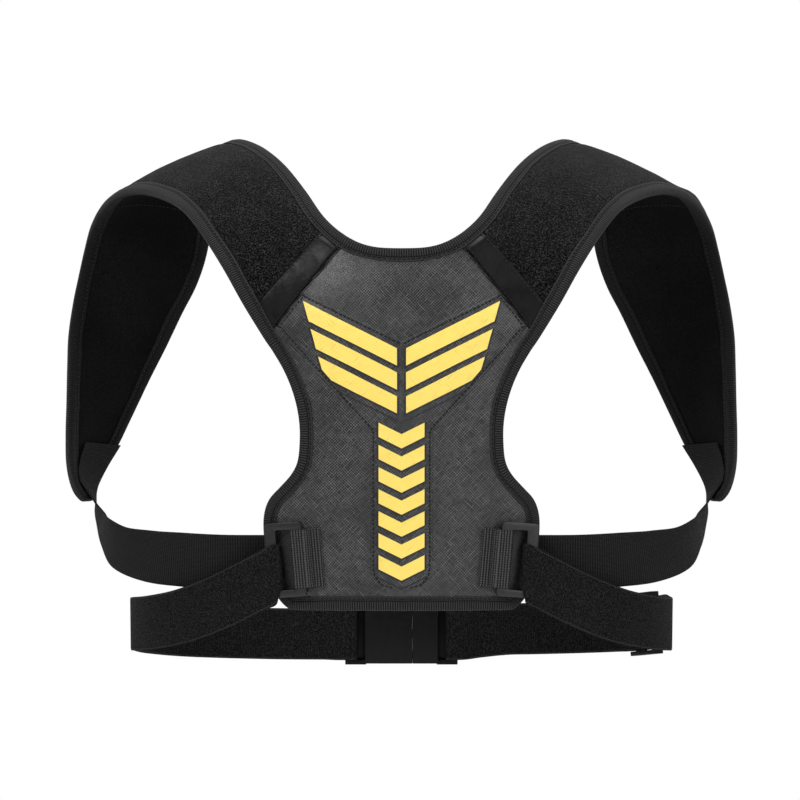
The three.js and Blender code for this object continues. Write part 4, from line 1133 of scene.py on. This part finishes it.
def outer_height(points, s, face, seed):
    """How far the outer cloth stands from the middle surface."""
    distance = rim_distance(points)
    height = foam_height(distance, face)
    inside = smooth((distance - TAPE_WIDTH) / SWELL_REACH)
    height += inside * (waves(points, LONG_SWELL, seed) + waves(points, SHORT_SWELL, seed + 1))
    for puff in PUFFS:
        away = (np.abs(points[:, 0]) - puff["x"]) ** 2 + (points[:, 2] - puff["z"]) ** 2
        height += inside * puff["rise"] * np.exp(-away / puff["reach"] ** 2)
    return height - SEAM_DIP * seam_dip(s) * smooth((distance - TAPE_WIDTH) / SEAM_DIP_REACH)


def eased(points, s, columns):
    """Softens the crease that the surface has beside the strap's seam."""
    soft = points.reshape(-1, columns, 3).copy()
    share = smooth((s - EASED_FROM_ROW) / EASED_ROWS)
    share *= smooth((rim_distance(points) - EASED_FROM_RIM) / EASED_REACH)
    share = share.reshape(-1, columns, 1)
    for _ in range(EASED_PASSES):
        mean = soft.copy()
        mean[1:-1, 1:-1] = (soft[:-2, 1:-1] + soft[2:, 1:-1] + soft[1:-1, :-2] + soft[1:-1, 2:]) / 4
        soft += (mean - soft) * share
    return soft.reshape(-1, 3)


def make_panel():
    rows = even_rows(0, SEAM_ROW - SEAM_OPEN)
    rows[np.argmin(np.abs(rows - NECK_ROW))] = NECK_ROW
    s, _, v, points, normals, cells = body_grid(rows, np.linspace(0, 1, PANEL_COLUMNS))
    points[(v == 0) & (s <= NECK_ROW), 0] = 0
    outer = eased(raised(points, normals, outer_height(points, s, PANEL_FACE, 1)), s, PANEL_COLUMNS)
    inner = raised(points, normals, -foam_height(rim_distance(points), PANEL_BACK))
    cloth = np.stack([outer[:, 0], outer[:, 2], np.zeros(len(outer))], 1)
    outer, inner, cloth, cells = both_halves(outer, inner, cloth, cells)
    piece = shell("padded_panel", outer, inner, cells, [LEATHER, LINING], cloth)
    place_piece(facing_out(piece), ["back_panel"])


def strap_bump(s, v, side):
    """A soft fold of the right strap that shows past its shoulder arch."""
    if side < 0:
        return np.zeros(len(s))
    (along, across), (long, wide) = BUMP_PLACE, BUMP_REACH
    return BUMP_HEIGHT * np.exp(-(((s - along) / long) ** 2) - ((v - across) / wide) ** 2)


def make_strap(side):
    name = SIDE_NAMES[side]
    rows = even_rows(SEAM_ROW + SEAM_OPEN, LAST_ROW)
    s, u, v, points, normals, cells = body_grid(rows, np.linspace(0, 1, STRAP_COLUMNS))
    out = outer_height(points, s, FOAM_FACE, 5 + side) + strap_bump(s, v, side)
    distance = rim_distance(points)
    inside = smooth((distance - SWELL_REACH) / SWELL_REACH)
    back = -foam_height(distance, STRAP_BACK) - inside * waves(points, LINING_SWELL, 9 + side)
    outer, inner = (raised(points, normals, height) * turned(side) for height in (out, back))
    cloth = np.stack([s * ROW_LENGTH, u * STRAP_WIDTH, np.zeros(len(points))], 1)
    piece = shell(f"padded_strap_{name}", outer, inner, cells, [VELOUR, LINING], cloth)
    place_piece(facing_out(piece), [f"shoulder_strap_{name}"])


def make_seam_band(side):
    name = SIDE_NAMES[side]
    row_count, column_count = SEAM_BAND_GRID
    rows = np.linspace(SEAM_ROW + SEAM_BAND_START, SEAM_ROW + SEAM_BAND_WIDTH / SEAM_ROW_LENGTH, row_count)
    s, _, _, points, normals, cells = body_grid(rows, np.linspace(*SEAM_BAND_ENDS, column_count))
    distance = rim_distance(points)
    base = foam_height(distance, FOAM_FACE)
    inside = smooth((distance - TAPE_WIDTH + SEAM_BAND_UNDER_TAPE) / SEAM_BAND_REACH)
    t = (s - rows[0]) / (rows[-1] - rows[0])
    swell = np.sin(np.pi * t) ** 0.5
    crease = waves(points, SEAM_BAND_LONG_CREASE, 21 + side)
    crease += waves(points, SEAM_BAND_SHORT_CREASE, 24 + side)
    top = base + inside * (SEAM_BAND_STAND + SEAM_BAND_SWELL * swell + crease * swell) + SEAM_BAND_FACE
    low = base - SEAM_BAND_BACK
    outer, inner = (raised(points, normals, height) * turned(side) for height in (top, low))
    piece = shell(f"seam_strip_{name}", outer, inner, cells, [GLOSS], points * turned(side))
    place_piece(facing_out(piece), [f"seam_band_{name}"])


# The raised pocket


def pocket_rows():
    """Inner and outer ends, in x and z, of rows down one wing and then down the column."""
    notch = np.array([0, HEM_LEVEL + POCKET_NOTCH_HEIGHT])
    root = np.array([POCKET_COLUMN_WIDTH / 2, HEM_LEVEL + POCKET_WING_HEIGHT])
    top = body_point(SEAM_ROW - POCKET_UNDER_SEAM, WING_TOP)[[0, 2]]
    foot = body_point(SEAM_ROW - POCKET_UNDER_SEAM, WING_FOOT)[[0, 2]]
    arm = 1 - POCKET_WING_SHARES[:, None]
    wing = np.hstack([notch + (top - notch) * arm, root + (foot - root) * arm])
    column = [[0, HEM_LEVEL + r["mid"] * PANEL_HEIGHT, r["half"] * POCKET_COLUMN_WIDTH / 2,
               HEM_LEVEL + r["edge"] * PANEL_HEIGHT] for r in POCKET_COLUMN_ROWS]
    column = np.array([np.concatenate([notch, root])] + column)
    t = np.linspace(0, len(column) - 1, POCKET_COLUMN_STEPS)[1:]
    return np.vstack([wing, curve(column, t)])


def outline_distance(points, outline):
    """Distance from each point to a closed line, in its own plane."""
    start, way = outline, np.roll(outline, -1, axis=0) - outline
    best = np.full(len(points), np.inf)
    for a, w in zip(start, way):
        length = max((w * w).sum(), 1e-9)
        t = np.clip(((points - a) @ w) / length, 0, 1)
        best = np.minimum(best, np.linalg.norm(points - a - t[:, None] * w, axis=1))
    return best


def pocket_outline(rows):
    """The pocket's outline on the right half, from the notch round to the foot."""
    wing = rows[:len(POCKET_WING_SHARES)]
    return np.vstack([wing[::-1, :2], wing[0:1, 2:], rows[:, 2:]])


def pocket_height(points, s, distance):
    """How far the pocket stands from the middle surface, at a distance from its outline."""
    base = outer_height(points, s, PANEL_FACE, 1)
    groove = POCKET_GROOVE * np.exp(-(((distance - POCKET_STITCH_INSET) / POCKET_GROOVE_WIDTH) ** 2))
    rise = POCKET_RISE * smooth(distance / POCKET_EDGE) - groove
    swell = POCKET_SWELL * smooth((distance - POCKET_SWELL_FROM) / POCKET_SWELL_REACH)
    return base + POCKET_STAND + rise + swell


def make_pocket():
    rows = pocket_rows()
    share = POCKET_COLUMN_SHARES[None, :, None]
    flat = (rows[:, None, :2] * (1 - share) + rows[:, None, 2:] * share).reshape(-1, 2)
    s, v = panel_place(flat[:, 0], flat[:, 1])
    middle = flat[:, 0] < ON_CENTRE
    points = body_point(s, v)
    normals = body_normal(s, np.where(middle, 0, v))
    points[middle, 0] = 0
    normals[middle, 0] = 0
    normals = unit(normals)
    distance = outline_distance(flat, open_outline(pocket_outline(rows)))
    outer = raised(points, normals, pocket_height(points, s, distance))
    inner = raised(points, normals, foam_height(rim_distance(points), PANEL_FACE) - POCKET_SINK)
    cloth = np.stack([flat[:, 0], flat[:, 1], np.zeros(len(flat))], 1)
    cells = grid_cells(len(rows), len(POCKET_COLUMN_SHARES))
    outer, inner, cloth, cells = both_halves(outer, inner, cloth, cells)
    piece = shell("raised_pocket", outer, inner, cells, [PRINTED], cloth)
    place_piece(facing_out(piece), ["stay_pocket"])


def open_outline(outline):
    """The right half's outline closed through its mirror image, so the centre line isn't an edge."""
    return np.vstack([outline, (outline * np.array([-1, 1]))[::-1]])


# Straps, webbing and belt


def smooth_stations(chosen, steps):
    """Stations of middle, across and width on a smooth curve through the chosen ones."""
    rows = np.array([np.concatenate([m, unit(np.asarray(a, float)), [w]]) for m, a, w in chosen])
    made = curve(rows, np.linspace(0, len(rows) - 1, (len(rows) - 1) * steps + 1))
    return [(r[:3], r[3:6], r[6]) for r in made]


def strap_mesh(name, route, thickness, material, nodes, side, columns=WOVEN_COLUMNS):
    """A woven strap along stations of middle, across and width, with soft rounded edges."""
    middles = np.array([m for m, _, _ in route])
    sides = unit(np.array([a for _, a, _ in route])) * (np.array([w for _, _, w in route]) / 2)[:, None]
    along = np.gradient(middles, axis=0)
    up = unit(np.cross(sides, along)) * thickness / 2
    q = np.linspace(-1, 1, columns)
    q = np.sign(q) * (1 - (1 - np.abs(q)) ** WOVEN_EDGE_CROWD)
    rounding = np.clip((np.abs(q) - 1 + WOVEN_EDGE) / WOVEN_EDGE, 0, 1)
    edge = np.sqrt(np.clip(1 - rounding**2, WOVEN_EDGE_FLOOR, 1))
    profile = [(a, e) for a, e in zip(q, edge)] + [(a, -e) for a, e in zip(q[::-1], edge[::-1])]
    rings = np.stack([middles + sides * a + up * e for a, e in profile], 1)
    run = arc_length(middles)
    half = np.linalg.norm(sides, axis=1)
    cloth = np.stack([np.stack([run, half * a, np.zeros(len(run))], 1) for a, _ in profile], 1)
    count, size = rings.shape[:2]
    faces = ring_faces(count, size, closed=False).tolist()
    for ring in (0, (count - 1) * size):
        for k in range(columns - 1):
            faces.append([ring + k, ring + k + 1, ring + size - 2 - k, ring + size - 1 - k])
    points = rings.reshape(-1, 3) * turned(side)
    piece = new_object(name, points, faces, [material], None, cloth.reshape(-1, 3))
    place_piece(facing_out(piece), nodes)
    return piece, run[-1]


def webbing_route():
    def under(s, v, gap):
        behind = BINDING_FACE + gap + WEBBING_THICKNESS / 2
        return body_point(s, v) - body_normal(s, v) * behind

    chosen = []
    for r in WEBBING_SEWN_ROWS:
        neck = under(LAST_ROW - r["neck_back"], r["neck"], CURVED_GAP)
        arm = under(LAST_ROW - r["arm_back"], r["arm"], CURVED_GAP)
        chosen.append(((neck + arm) / 2, arm - neck, WEBBING_WIDTH))
    start = chosen[-1][0][0]
    for r in WEBBING_ROWS:
        x = start + r["span"] * (PANEL_WIDTH / 2 - start)
        middle = np.array([x, r["fore"] * CHEST_DEPTH, r["up"] * STRAP_DROP])
        chosen.append((middle, (r["ax"], r["ay"], r["az"]), WEBBING_WIDTH))
    for share in HIP_SHARES:
        s, v = panel_place([PANEL_WIDTH / 2 - share * WEBBING_OVERLAP], [HEM_LEVEL + WEBBING_ABOVE_HEM])
        chosen.append((under(s[0], v[0], WEBBING_HIP_GAP), (0, 0, 1), WEBBING_WIDTH))
    return pinched(smooth_stations(chosen, WEBBING_STEPS))


def pinched(route):
    """Gathers the webbing where it twists just past the strap's lower end."""
    made = []
    for i, (middle, across, width) in enumerate(route):
        share = math.exp(-(((i - PINCH_STATION) / PINCH_REACH) ** 2))
        across = unit(across - np.array([PINCH_TURN * share, 0, 0]))
        middle = middle + np.array([PINCH_SHIFT * share, 0, 0])
        made.append((middle, across, width * (1 - PINCH_SHARE * share)))
    return made


def ring_axes():
    s, v = panel_place([RING_FROM_CENTRE], [HEM_LEVEL + RING_ABOVE_HEM])
    away = body_normal(s, v)[0]
    up = unit(np.array([0, 0, 1.0]) - away * away[2])
    tilt = math.radians(-RING_TILT)
    up = up * math.cos(tilt) + np.cross(away, up) * math.sin(tilt)
    out = np.cross(up, away)
    lift = BINDING_FACE - 2 + 2 * CURVED_GAP + BELT_THICKNESS
    return body_point(s, v)[0] + away * (2 + lift), out, up, away, lift


RING_MIDDLE, RING_OUT, RING_UP, RING_AWAY, RING_LIFT = ring_axes()


def from_ring(u, w, n):
    return RING_MIDDLE + RING_OUT * u + RING_UP * w + RING_AWAY * n


def belt_route():
    over_ring = RING_THICKNESS + CLOTH_GAP + BELT_THICKNESS / 2
    slot_edge = RING_WIDTH / 2 - RING_SIDE_BAR

    def growth(share):
        return BELT_FOLD_WIDTH + share * (BELT_WIDTH - BELT_FOLD_WIDTH)

    slant = RING_UP + RING_OUT * BELT_EDGE_SLANT
    chosen = [
        (from_ring(slot_edge, -BELT_FOLD_DROP, over_ring), RING_UP, growth(0)),
        (from_ring(RING_WIDTH / 2, -BELT_EDGE_DROP, over_ring), slant, growth(0.7)),
    ]
    for r in BELT_ROWS:
        middle = np.array([r["out"] * WAIST_SPAN / 2, r["fore"] * WAIST_DEPTH / 2, r["up"] * BELT_DROP])
        chosen.append((middle, (r["ax"], r["ay"], r["az"]), growth(1)))
    over_bar = BUCKLE_FORE - BUCKLE_BAR_THICKNESS / 2 - CLOTH_GAP - BELT_THICKNESS / 2
    for x in (BUCKLE_BAR_REACH + BELT_FLAT_RUN, BUCKLE_BAR_REACH, BUCKLE_BAR_REACH - BUCKLE_BAR):
        chosen.append((np.array([x, over_bar, -BELT_DROP]), (0, 0, 1), BELT_WIDTH))
    return smooth_stations(chosen, BELT_STEPS)


def folded_layer(route, stand_off, bar, length):
    """The belt's end that lies back on it: at first off by the bar, then settled on the belt."""
    settled = BELT_THICKNESS + CLOTH_GAP
    layer, run = [], 0.0
    for i, (middle, across, width) in enumerate(route):
        before, after = route[max(i - 1, 0)][0], route[min(i + 1, len(route) - 1)][0]
        run += np.linalg.norm(middle - before) if i else 0
        if run > length:
            break
        away = unit(np.cross(across, after - before))
        ease = smooth((run - bar) / (2 * bar))
        layer.append((middle + away * (stand_off + (settled - stand_off) * ease), across, width))
    return layer


def turn(start, end, bulge, steps=10):
    """The round stations of a fold, from one layer to the other."""
    middle = (start[0] + end[0]) / 2
    radius = start[0] - middle
    angles = np.linspace(0, math.pi, steps + 1)[1:-1]
    return [(middle + radius * math.cos(a) + bulge * math.sin(a), start[1], start[2]) for a in angles]


def lifted(route):
    """The right belt's front run rises a little from the buckle to the slider, which it fills."""
    made = []
    for middle, across, width in route:
        x, y, _ = middle
        share = 0
        if y > 0:
            share = smooth((x - FRONT_LIFT_FROM) / FRONT_LIFT_REACH)
            share *= smooth((y - FRONT_LIFT_FROM_FORE) / FRONT_LIFT_FORE_REACH)
            width += 2 * SLIDER_FILL * math.exp(-(((x - SLIDER_OUT) / SLIDER_FILL_REACH) ** 4))
        made.append((middle + np.array([0, 0, FRONT_LIFT * share]), across, width))
    return made


def spread(route):
    """Widens the belt's lower side where it comes over the ring's bar."""
    made, run = [], 0.0
    for i, (middle, across, width) in enumerate(route):
        run += np.linalg.norm(middle - route[i - 1][0]) if i else 0
        near = math.exp(-(((run - LOOP_SPREAD_PLACE) / LOOP_SPREAD_REACH) ** 2))
        more = LOOP_SPREAD * near * smooth(run / LOOP_SPREAD_START)
        made.append((middle - across * more / 2, across, width + more))
    return made


def make_belt(name, node, side, return_length):
    route = belt_route()
    ring_stand = RING_THICKNESS + 2 * CLOTH_GAP + BELT_THICKNESS
    bar_stand = BUCKLE_BAR_THICKNESS + 2 * CLOTH_GAP + BELT_THICKNESS
    reach = CURVED_GAP + BELT_THICKNESS / 2
    at_ring = folded_layer(route, ring_stand, RING_SIDE_BAR + FOLD_EASE, BELT_RETURN)
    at_buckle = folded_layer(route[::-1], -bar_stand, BUCKLE_BAR + FOLD_EASE, return_length)
    whole = (at_ring[::-1] + turn(at_ring[0], route[0], RING_OUT * -reach) + spread(route)
             + turn(route[-1], at_buckle[0], np.array([-reach, 0, 0])) + at_buckle)
    whole = lifted(whole) if side > 0 else whole
    piece, length = strap_mesh(name, whole, BELT_THICKNESS, ELASTIC, [node], side)


def make_webbing(side):
    name = SIDE_NAMES[side]
    piece, length = strap_mesh(f"woven_strap_{name}", webbing_route(), WEBBING_THICKNESS, WEBBING,
                               [f"webbing_{name}"], side)


def tab_line():
    """The folded tape's line from the panel through the ring and back, as ways out and away."""
    t = TAB_THICKNESS
    edge = -RING_WIDTH / 2
    face = -RING_LIFT + CLOTH_GAP + t / 2
    below, above = -CLOTH_GAP - t / 2, RING_THICKNESS + CLOTH_GAP + t / 2
    fold = [(edge + RING_SIDE_BAR + (CLOTH_GAP + t / 2) * math.cos(a),
             (below + above) / 2 + (above - below) / 2 * math.sin(a))
            for a in np.linspace(-math.pi / 2, math.pi / 2, 9)]
    start = [(edge - TAB_TAIL, face), (edge - TAB_STEP, face), (edge + TAB_STEP, below)]
    end = [(edge - TAB_STEP, above), (edge - 3 * TAB_STEP, face + 2 * t + CLOTH_GAP),
           (edge - TAB_TAIL, face + t + CLOTH_GAP)]
    return np.array(start + fold + end)


def make_tab(side):
    name = SIDE_NAMES[side]
    line = tab_line()
    line = read_at(resampled(line, TAB_STEP_LENGTH), np.arange(len(line)), line)
    rib = TAB_RIB * np.sin(arc_length(line) * 2 * math.pi / TAB_RIB_PITCH)
    route = [(from_ring(out, 0, away), RING_UP, TAB_HEIGHT) for out, away in line]
    piece, _ = strap_mesh(f"ring_tape_{name}", route, TAB_THICKNESS, TAB,
                          [f"ring_tab_{name}"], side, TAB_COLUMNS)
    mesh = piece.data
    normals = np.array([v.normal[:] for v in mesh.vertices])
    points = np.array([v.co[:] for v in mesh.vertices])
    points += normals * np.repeat(rib, len(points) // len(route))[:, None] * METRES
    mesh.vertices.foreach_set("co", points.ravel())
    mesh.update()


# Moulded pieces: the solid's own form with rounded edges


def add_block(work, low, high):
    """One more rounded block, as part of the same moulding."""
    ends = (low, high)
    corners = [work.verts.new([ends[(k >> axis) & 1][axis] * METRES for axis in range(3)]) for k in range(8)]
    for face in ((0, 2, 3, 1), (4, 5, 7, 6), (0, 1, 5, 4), (2, 6, 7, 3), (0, 4, 6, 2), (1, 3, 7, 5)):
        work.faces.new([corners[k] for k in face])


def buckle_lip(end, side):
    """The shell's far wall, which carries on over the belt's fold."""
    half = BUCKLE_HEIGHT / 2 - BUCKLE_LIP_INSET
    inner = side * (end - BUCKLE_LIP_LAP)
    outer = side * (BUCKLE_BAR_REACH - BUCKLE_BAR + BUCKLE_LIP_OVER_BAR)
    far = BUCKLE_FORE + BUCKLE_DEPTH / 2
    low = [min(inner, outer), far - BUCKLE_LIP, -BELT_DROP - half]
    return low, [max(inner, outer), far, -BELT_DROP + half]


def moulded(node, name, width, material, block=None):
    """The solid's own form with edges rounded by that width, and one more block if it is given."""
    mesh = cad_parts[node].data.copy()
    mesh.name = name
    work = bmesh.new()
    work.from_mesh(mesh)
    if block is not None:
        add_block(work, *block)
    for vertex in work.verts:
        if node == "buckle_plug" and abs(vertex.co.x / METRES - PLUG_START) < 0.01:
            vertex.co.x -= PLUG_CLOSE * METRES
        if node == "tri_glide":
            vertex.co.z += FRONT_LIFT * METRES
    bmesh.ops.remove_doubles(work, verts=work.verts, dist=WELD_REACH * METRES)
    bmesh.ops.dissolve_limit(work, angle_limit=FLAT_ANGLE, verts=work.verts, edges=work.edges)
    sharp = [e for e in work.edges if len(e.link_faces) == 2 and e.calc_face_angle() > SHARP_ANGLE]
    bmesh.ops.bevel(work, geom=sharp, offset=width * METRES, offset_type="OFFSET", segments=CORNER_STEPS,
                    profile=0.5, affect="EDGES", clamp_overlap=True)
    bmesh.ops.recalc_face_normals(work, faces=work.faces)
    work.to_mesh(mesh)
    work.free()
    mesh.materials.clear()
    mesh.materials.append(material)
    mesh.polygons.foreach_set("material_index", np.zeros(len(mesh.polygons), np.int32))
    mesh.polygons.foreach_set("use_smooth", np.ones(len(mesh.polygons), bool))
    mesh.set_sharp_from_angle(angle=SHADE_ANGLE)
    mesh.update()
    made = bpy.data.objects.new(name, mesh)
    bpy.context.scene.collection.objects.link(made)
    return place_piece(made, [node])


# Stitches


def stitch_meshes(paths):
    """Every stitch of every row: a short bead, laid along the path and half sunk."""
    size = len(BEAD_PROFILE) * BEAD_SIDES
    around = np.linspace(0, 2 * math.pi, BEAD_SIDES, endpoint=False)
    bead = []
    for a in range(0, size - BEAD_SIDES, BEAD_SIDES):
        for b in range(BEAD_SIDES):
            c = (b + 1) % BEAD_SIDES
            bead.append([a + b, a + c, a + BEAD_SIDES + c, a + BEAD_SIDES + b])
    bead += [list(range(BEAD_SIDES)), list(range(size - BEAD_SIDES, size))]
    blocks, faces = [], []
    total = 0
    for path, normals, pitch, length, radius in paths:
        run = arc_length(path)
        count = int(run[-1] // pitch)
        if count < 1:
            continue
        centre = (np.arange(count) + 0.5) * run[-1] / count
        middle = read_at(centre, run, path)
        up = unit(read_at(centre, run, normals))
        way = unit(read_at(centre + BEAD_AIM, run, path) - read_at(centre - BEAD_AIM, run, path))
        beside = unit(np.cross(way, up))
        points = [middle + way * share * length / 2 + beside * math.cos(angle) * radius * wide
                  + up * math.sin(angle) * radius * wide
                  for share, wide in BEAD_PROFILE for angle in around]
        blocks.append(np.stack(points, 1).reshape(-1, 3))
        faces += [[total + i * size + k for k in face] for i in range(count) for face in bead]
        total += count * size
    return np.vstack(blocks), faces


def stitched(points, normals, height, length=STITCH_LENGTH, radius=STITCH_RADIUS):
    """One row of stitches at a height over some points."""
    return raised(points, normals, height), normals, STITCH_PITCH, length, radius


def mirrored_path(path):
    points, normals, *rest = path
    return (points * MIRROR, normals * MIRROR, *rest)


def binding_stitches():
    rows = []
    for height in (TAPE_STITCH_HEIGHT, -TAPE_STITCH_HEIGHT):
        points, normals = binding_points(TAPE_STITCH_SHARE, height)
        rows.append((points, normals * np.sign(height), STITCH_PITCH, STITCH_LENGTH, TAPE_STITCH_RADIUS))
    return rows


def pocket_stitches():
    outline = pocket_outline(pocket_rows())
    flat = read_at(resampled(outline, POCKET_STITCH_STEP), np.arange(len(outline)), outline)
    way = np.gradient(flat, axis=0)
    beside = unit(np.stack([way[:, 1], -way[:, 0]], 1))
    flat = flat + beside * POCKET_STITCH_INSET * inward_sign(flat, beside, open_outline(outline))
    flat = flat[flat[:, 0] > POCKET_STITCH_FROM]
    s, v = panel_place(flat[:, 0], flat[:, 1])
    points, normals = body_point(s, v), body_normal(s, v)
    height = pocket_height(points, s, np.full(len(s), POCKET_STITCH_INSET)) + POCKET_STITCH_HEIGHT
    return [stitched(points, normals, height, POCKET_STITCH_LENGTH, POCKET_STITCH_RADIUS)]


def inward_sign(flat, beside, closed):
    """+1 where beside leads into the outline, by counting crossings of a ray."""
    test = flat + beside * POCKET_STITCH_STEP
    inside = np.zeros(len(test), bool)
    for p, q in zip(closed, np.roll(closed, -1, axis=0)):
        if p[1] == q[1]:
            continue
        crosses = (p[1] > test[:, 1]) != (q[1] > test[:, 1])
        x = (q[0] - p[0]) * (test[:, 1] - p[1]) / (q[1] - p[1]) + p[0]
        inside ^= crosses & (test[:, 0] < x)
    return np.where(inside, 1.0, -1.0)[:, None]


def band_stitches():
    rows = []
    for run in (BAND_STITCH_INSET, SEAM_BAND_WIDTH - BAND_STITCH_INSET):
        u = np.linspace(*BAND_STITCH_ENDS, ROW_POINTS)
        s = np.full(ROW_POINTS, SEAM_ROW + run / SEAM_ROW_LENGTH)
        points, normals = body_point(s, u), body_normal(s, u)
        height = foam_height(rim_distance(points), FOAM_FACE) + BAND_STITCH_HEIGHT
        rows.append(stitched(points, normals, height))
    return rows


def lining_stitches():
    """The seam across the lining where the strap turns down at the front."""
    u = np.linspace(*LINING_STITCH_ENDS, ROW_POINTS)
    s = LINING_SEAM + LINING_SEAM_SLANT * (u - 0.5)
    points, normals = body_point(s, u), -body_normal(s, u)
    height = foam_height(rim_distance(points), STRAP_BACK) + LINING_STITCH_HEIGHT
    return [stitched(points, normals, height)]


def tab_stitches():
    """Two rows on the tail of each folded tape, and one thick unbroken row of dark thread in its groove
    beside the ring as painted shade in the gap.
    """
    high = -RING_LIFT + 2 * CLOTH_GAP + 2 * TAB_THICKNESS + TAB_STITCH_HEIGHT
    groove = (RING_THICKNESS + CLOTH_GAP + TAB_THICKNESS + high) / 2
    beads = (STITCH_LENGTH, STITCH_RADIUS)
    places = [(-RING_WIDTH / 2 - TAB_TAIL + in_by, high, beads) for in_by in TAB_STITCHES]
    # Thick beads that join into one dark line: painted shade in the gap beside the ring.
    places.append((-RING_WIDTH / 2 - 2 * TAB_STEP, groove, (TAB_GAP_SHADE_LENGTH, 2 * STITCH_RADIUS)))
    end = TAB_HEIGHT / 2 + TAB_STITCH_PAST
    w = np.linspace(-end, end, TAB_ROW_POINTS)
    away = np.tile(RING_AWAY, (len(w), 1))
    return [(np.array([from_ring(out, x, high) for x in w]), away, STITCH_PITCH, *beads)
            for out, high, beads in places]


def make_stitches():
    right = binding_stitches() + pocket_stitches() + band_stitches() + lining_stitches() + tab_stitches()
    paths = right + [mirrored_path(p) for p in right]
    points, faces = stitch_meshes(paths)
    piece = new_object("stitching", points, faces, [THREAD])
    place_piece(facing_out(piece), [])


# Stage, light and camera


def make_stage():
    corners = [(x * FLOOR_HALF, y * FLOOR_HALF, FLOOR_LEVEL) for x, y in ((-1, -1), (1, -1), (1, 1), (-1, 1))]
    floor = new_object("floor", np.array(corners) / METRES, [[0, 1, 2, 3]], [], smooth_shade=False)
    n = Nodes("floor")
    tone = n.noise(n.place(), 0.01)
    floor.data.materials.append(n.finish(n.mix(tone, *FLOOR_TONES), FLOOR_ROUGHNESS))


def make_light(name, place, size, power):
    data = bpy.data.lights.new(name, "AREA")
    data.shape = "RECTANGLE"
    data.size, data.size_y = size
    data.energy = power
    light = bpy.data.objects.new(name, data)
    light.location = place
    aim = Vector(LAMP_AIM) - Vector(place)
    light.rotation_euler = aim.to_track_quat("-Z", "Y").to_euler()
    bpy.context.scene.collection.objects.link(light)


def make_world():
    """White behind the object and softer grey all round, so that the lamps give the form."""
    world = bpy.data.worlds.new("studio")
    world.use_nodes = True
    tree = world.node_tree
    direction = tree.nodes.new("ShaderNodeTexCoord")
    apart = tree.nodes.new("ShaderNodeSeparateXYZ")
    tree.links.new(direction.outputs["Generated"], apart.inputs[0])
    share = tree.nodes.new("ShaderNodeMapRange")
    share.interpolation_type = "SMOOTHSTEP"
    for k, number in enumerate((*BACK_LIGHT_FROM, SIDE_LIGHT, BACK_LIGHT)):
        share.inputs[k + 1].default_value = number
    tree.links.new(apart.outputs[1], share.inputs[0])
    tree.links.new(share.outputs[0], tree.nodes["Background"].inputs["Strength"])
    tree.nodes["Background"].inputs["Color"].default_value = (1, 1, 1, 1)
    bpy.context.scene.world = world


def make_camera():
    data = bpy.data.cameras.new("camera")
    data.lens = CAMERA_LENS
    data.sensor_width = CAMERA_SENSOR
    camera = bpy.data.objects.new("camera", data)
    camera.location = CAMERA_PLACE
    camera.rotation_euler = (math.radians(90), 0, 0)
    bpy.context.scene.collection.objects.link(camera)
    bpy.context.scene.camera = camera
    bpy.context.scene.view_settings.view_transform = "Standard"


make_camera()
for lamp in LAMPS:
    make_light(*lamp)
make_world()
make_stage()
make_panel()
make_pocket()
make_binding()
for side in SIDE_NAMES:
    make_strap(side)
    make_seam_band(side)
    make_webbing(side)
    make_tab(side)
make_belt("elastic_belt_left", "belt_left", -1, BELT_RETURN)
slider_reach = SLIDER_OUT - BUCKLE_BAR_REACH - SLIDER_LENGTH / 2
make_belt("elastic_belt_right", "belt_right", 1, slider_reach)
for side_name in SIDE_NAMES.values():
    moulded(f"ring_{side_name}", f"moulded_ring_{side_name}", RING_ROUNDING, PLASTIC)
socket_lip = buckle_lip(SOCKET_LENGTH - BUCKLE_SPLIT, -1)
plug_lip = buckle_lip(PLUG_LENGTH + BUCKLE_SPLIT, 1)
moulded("buckle_socket", "moulded_socket", BUCKLE_ROUNDING, DULL_PLASTIC, socket_lip)
moulded("buckle_plug", "moulded_plug", BUCKLE_ROUNDING, DULL_PLASTIC, plug_lip)
moulded("tri_glide", "moulded_tri_glide", SLIDER_ROUNDING, DULL_PLASTIC)
make_stitches()
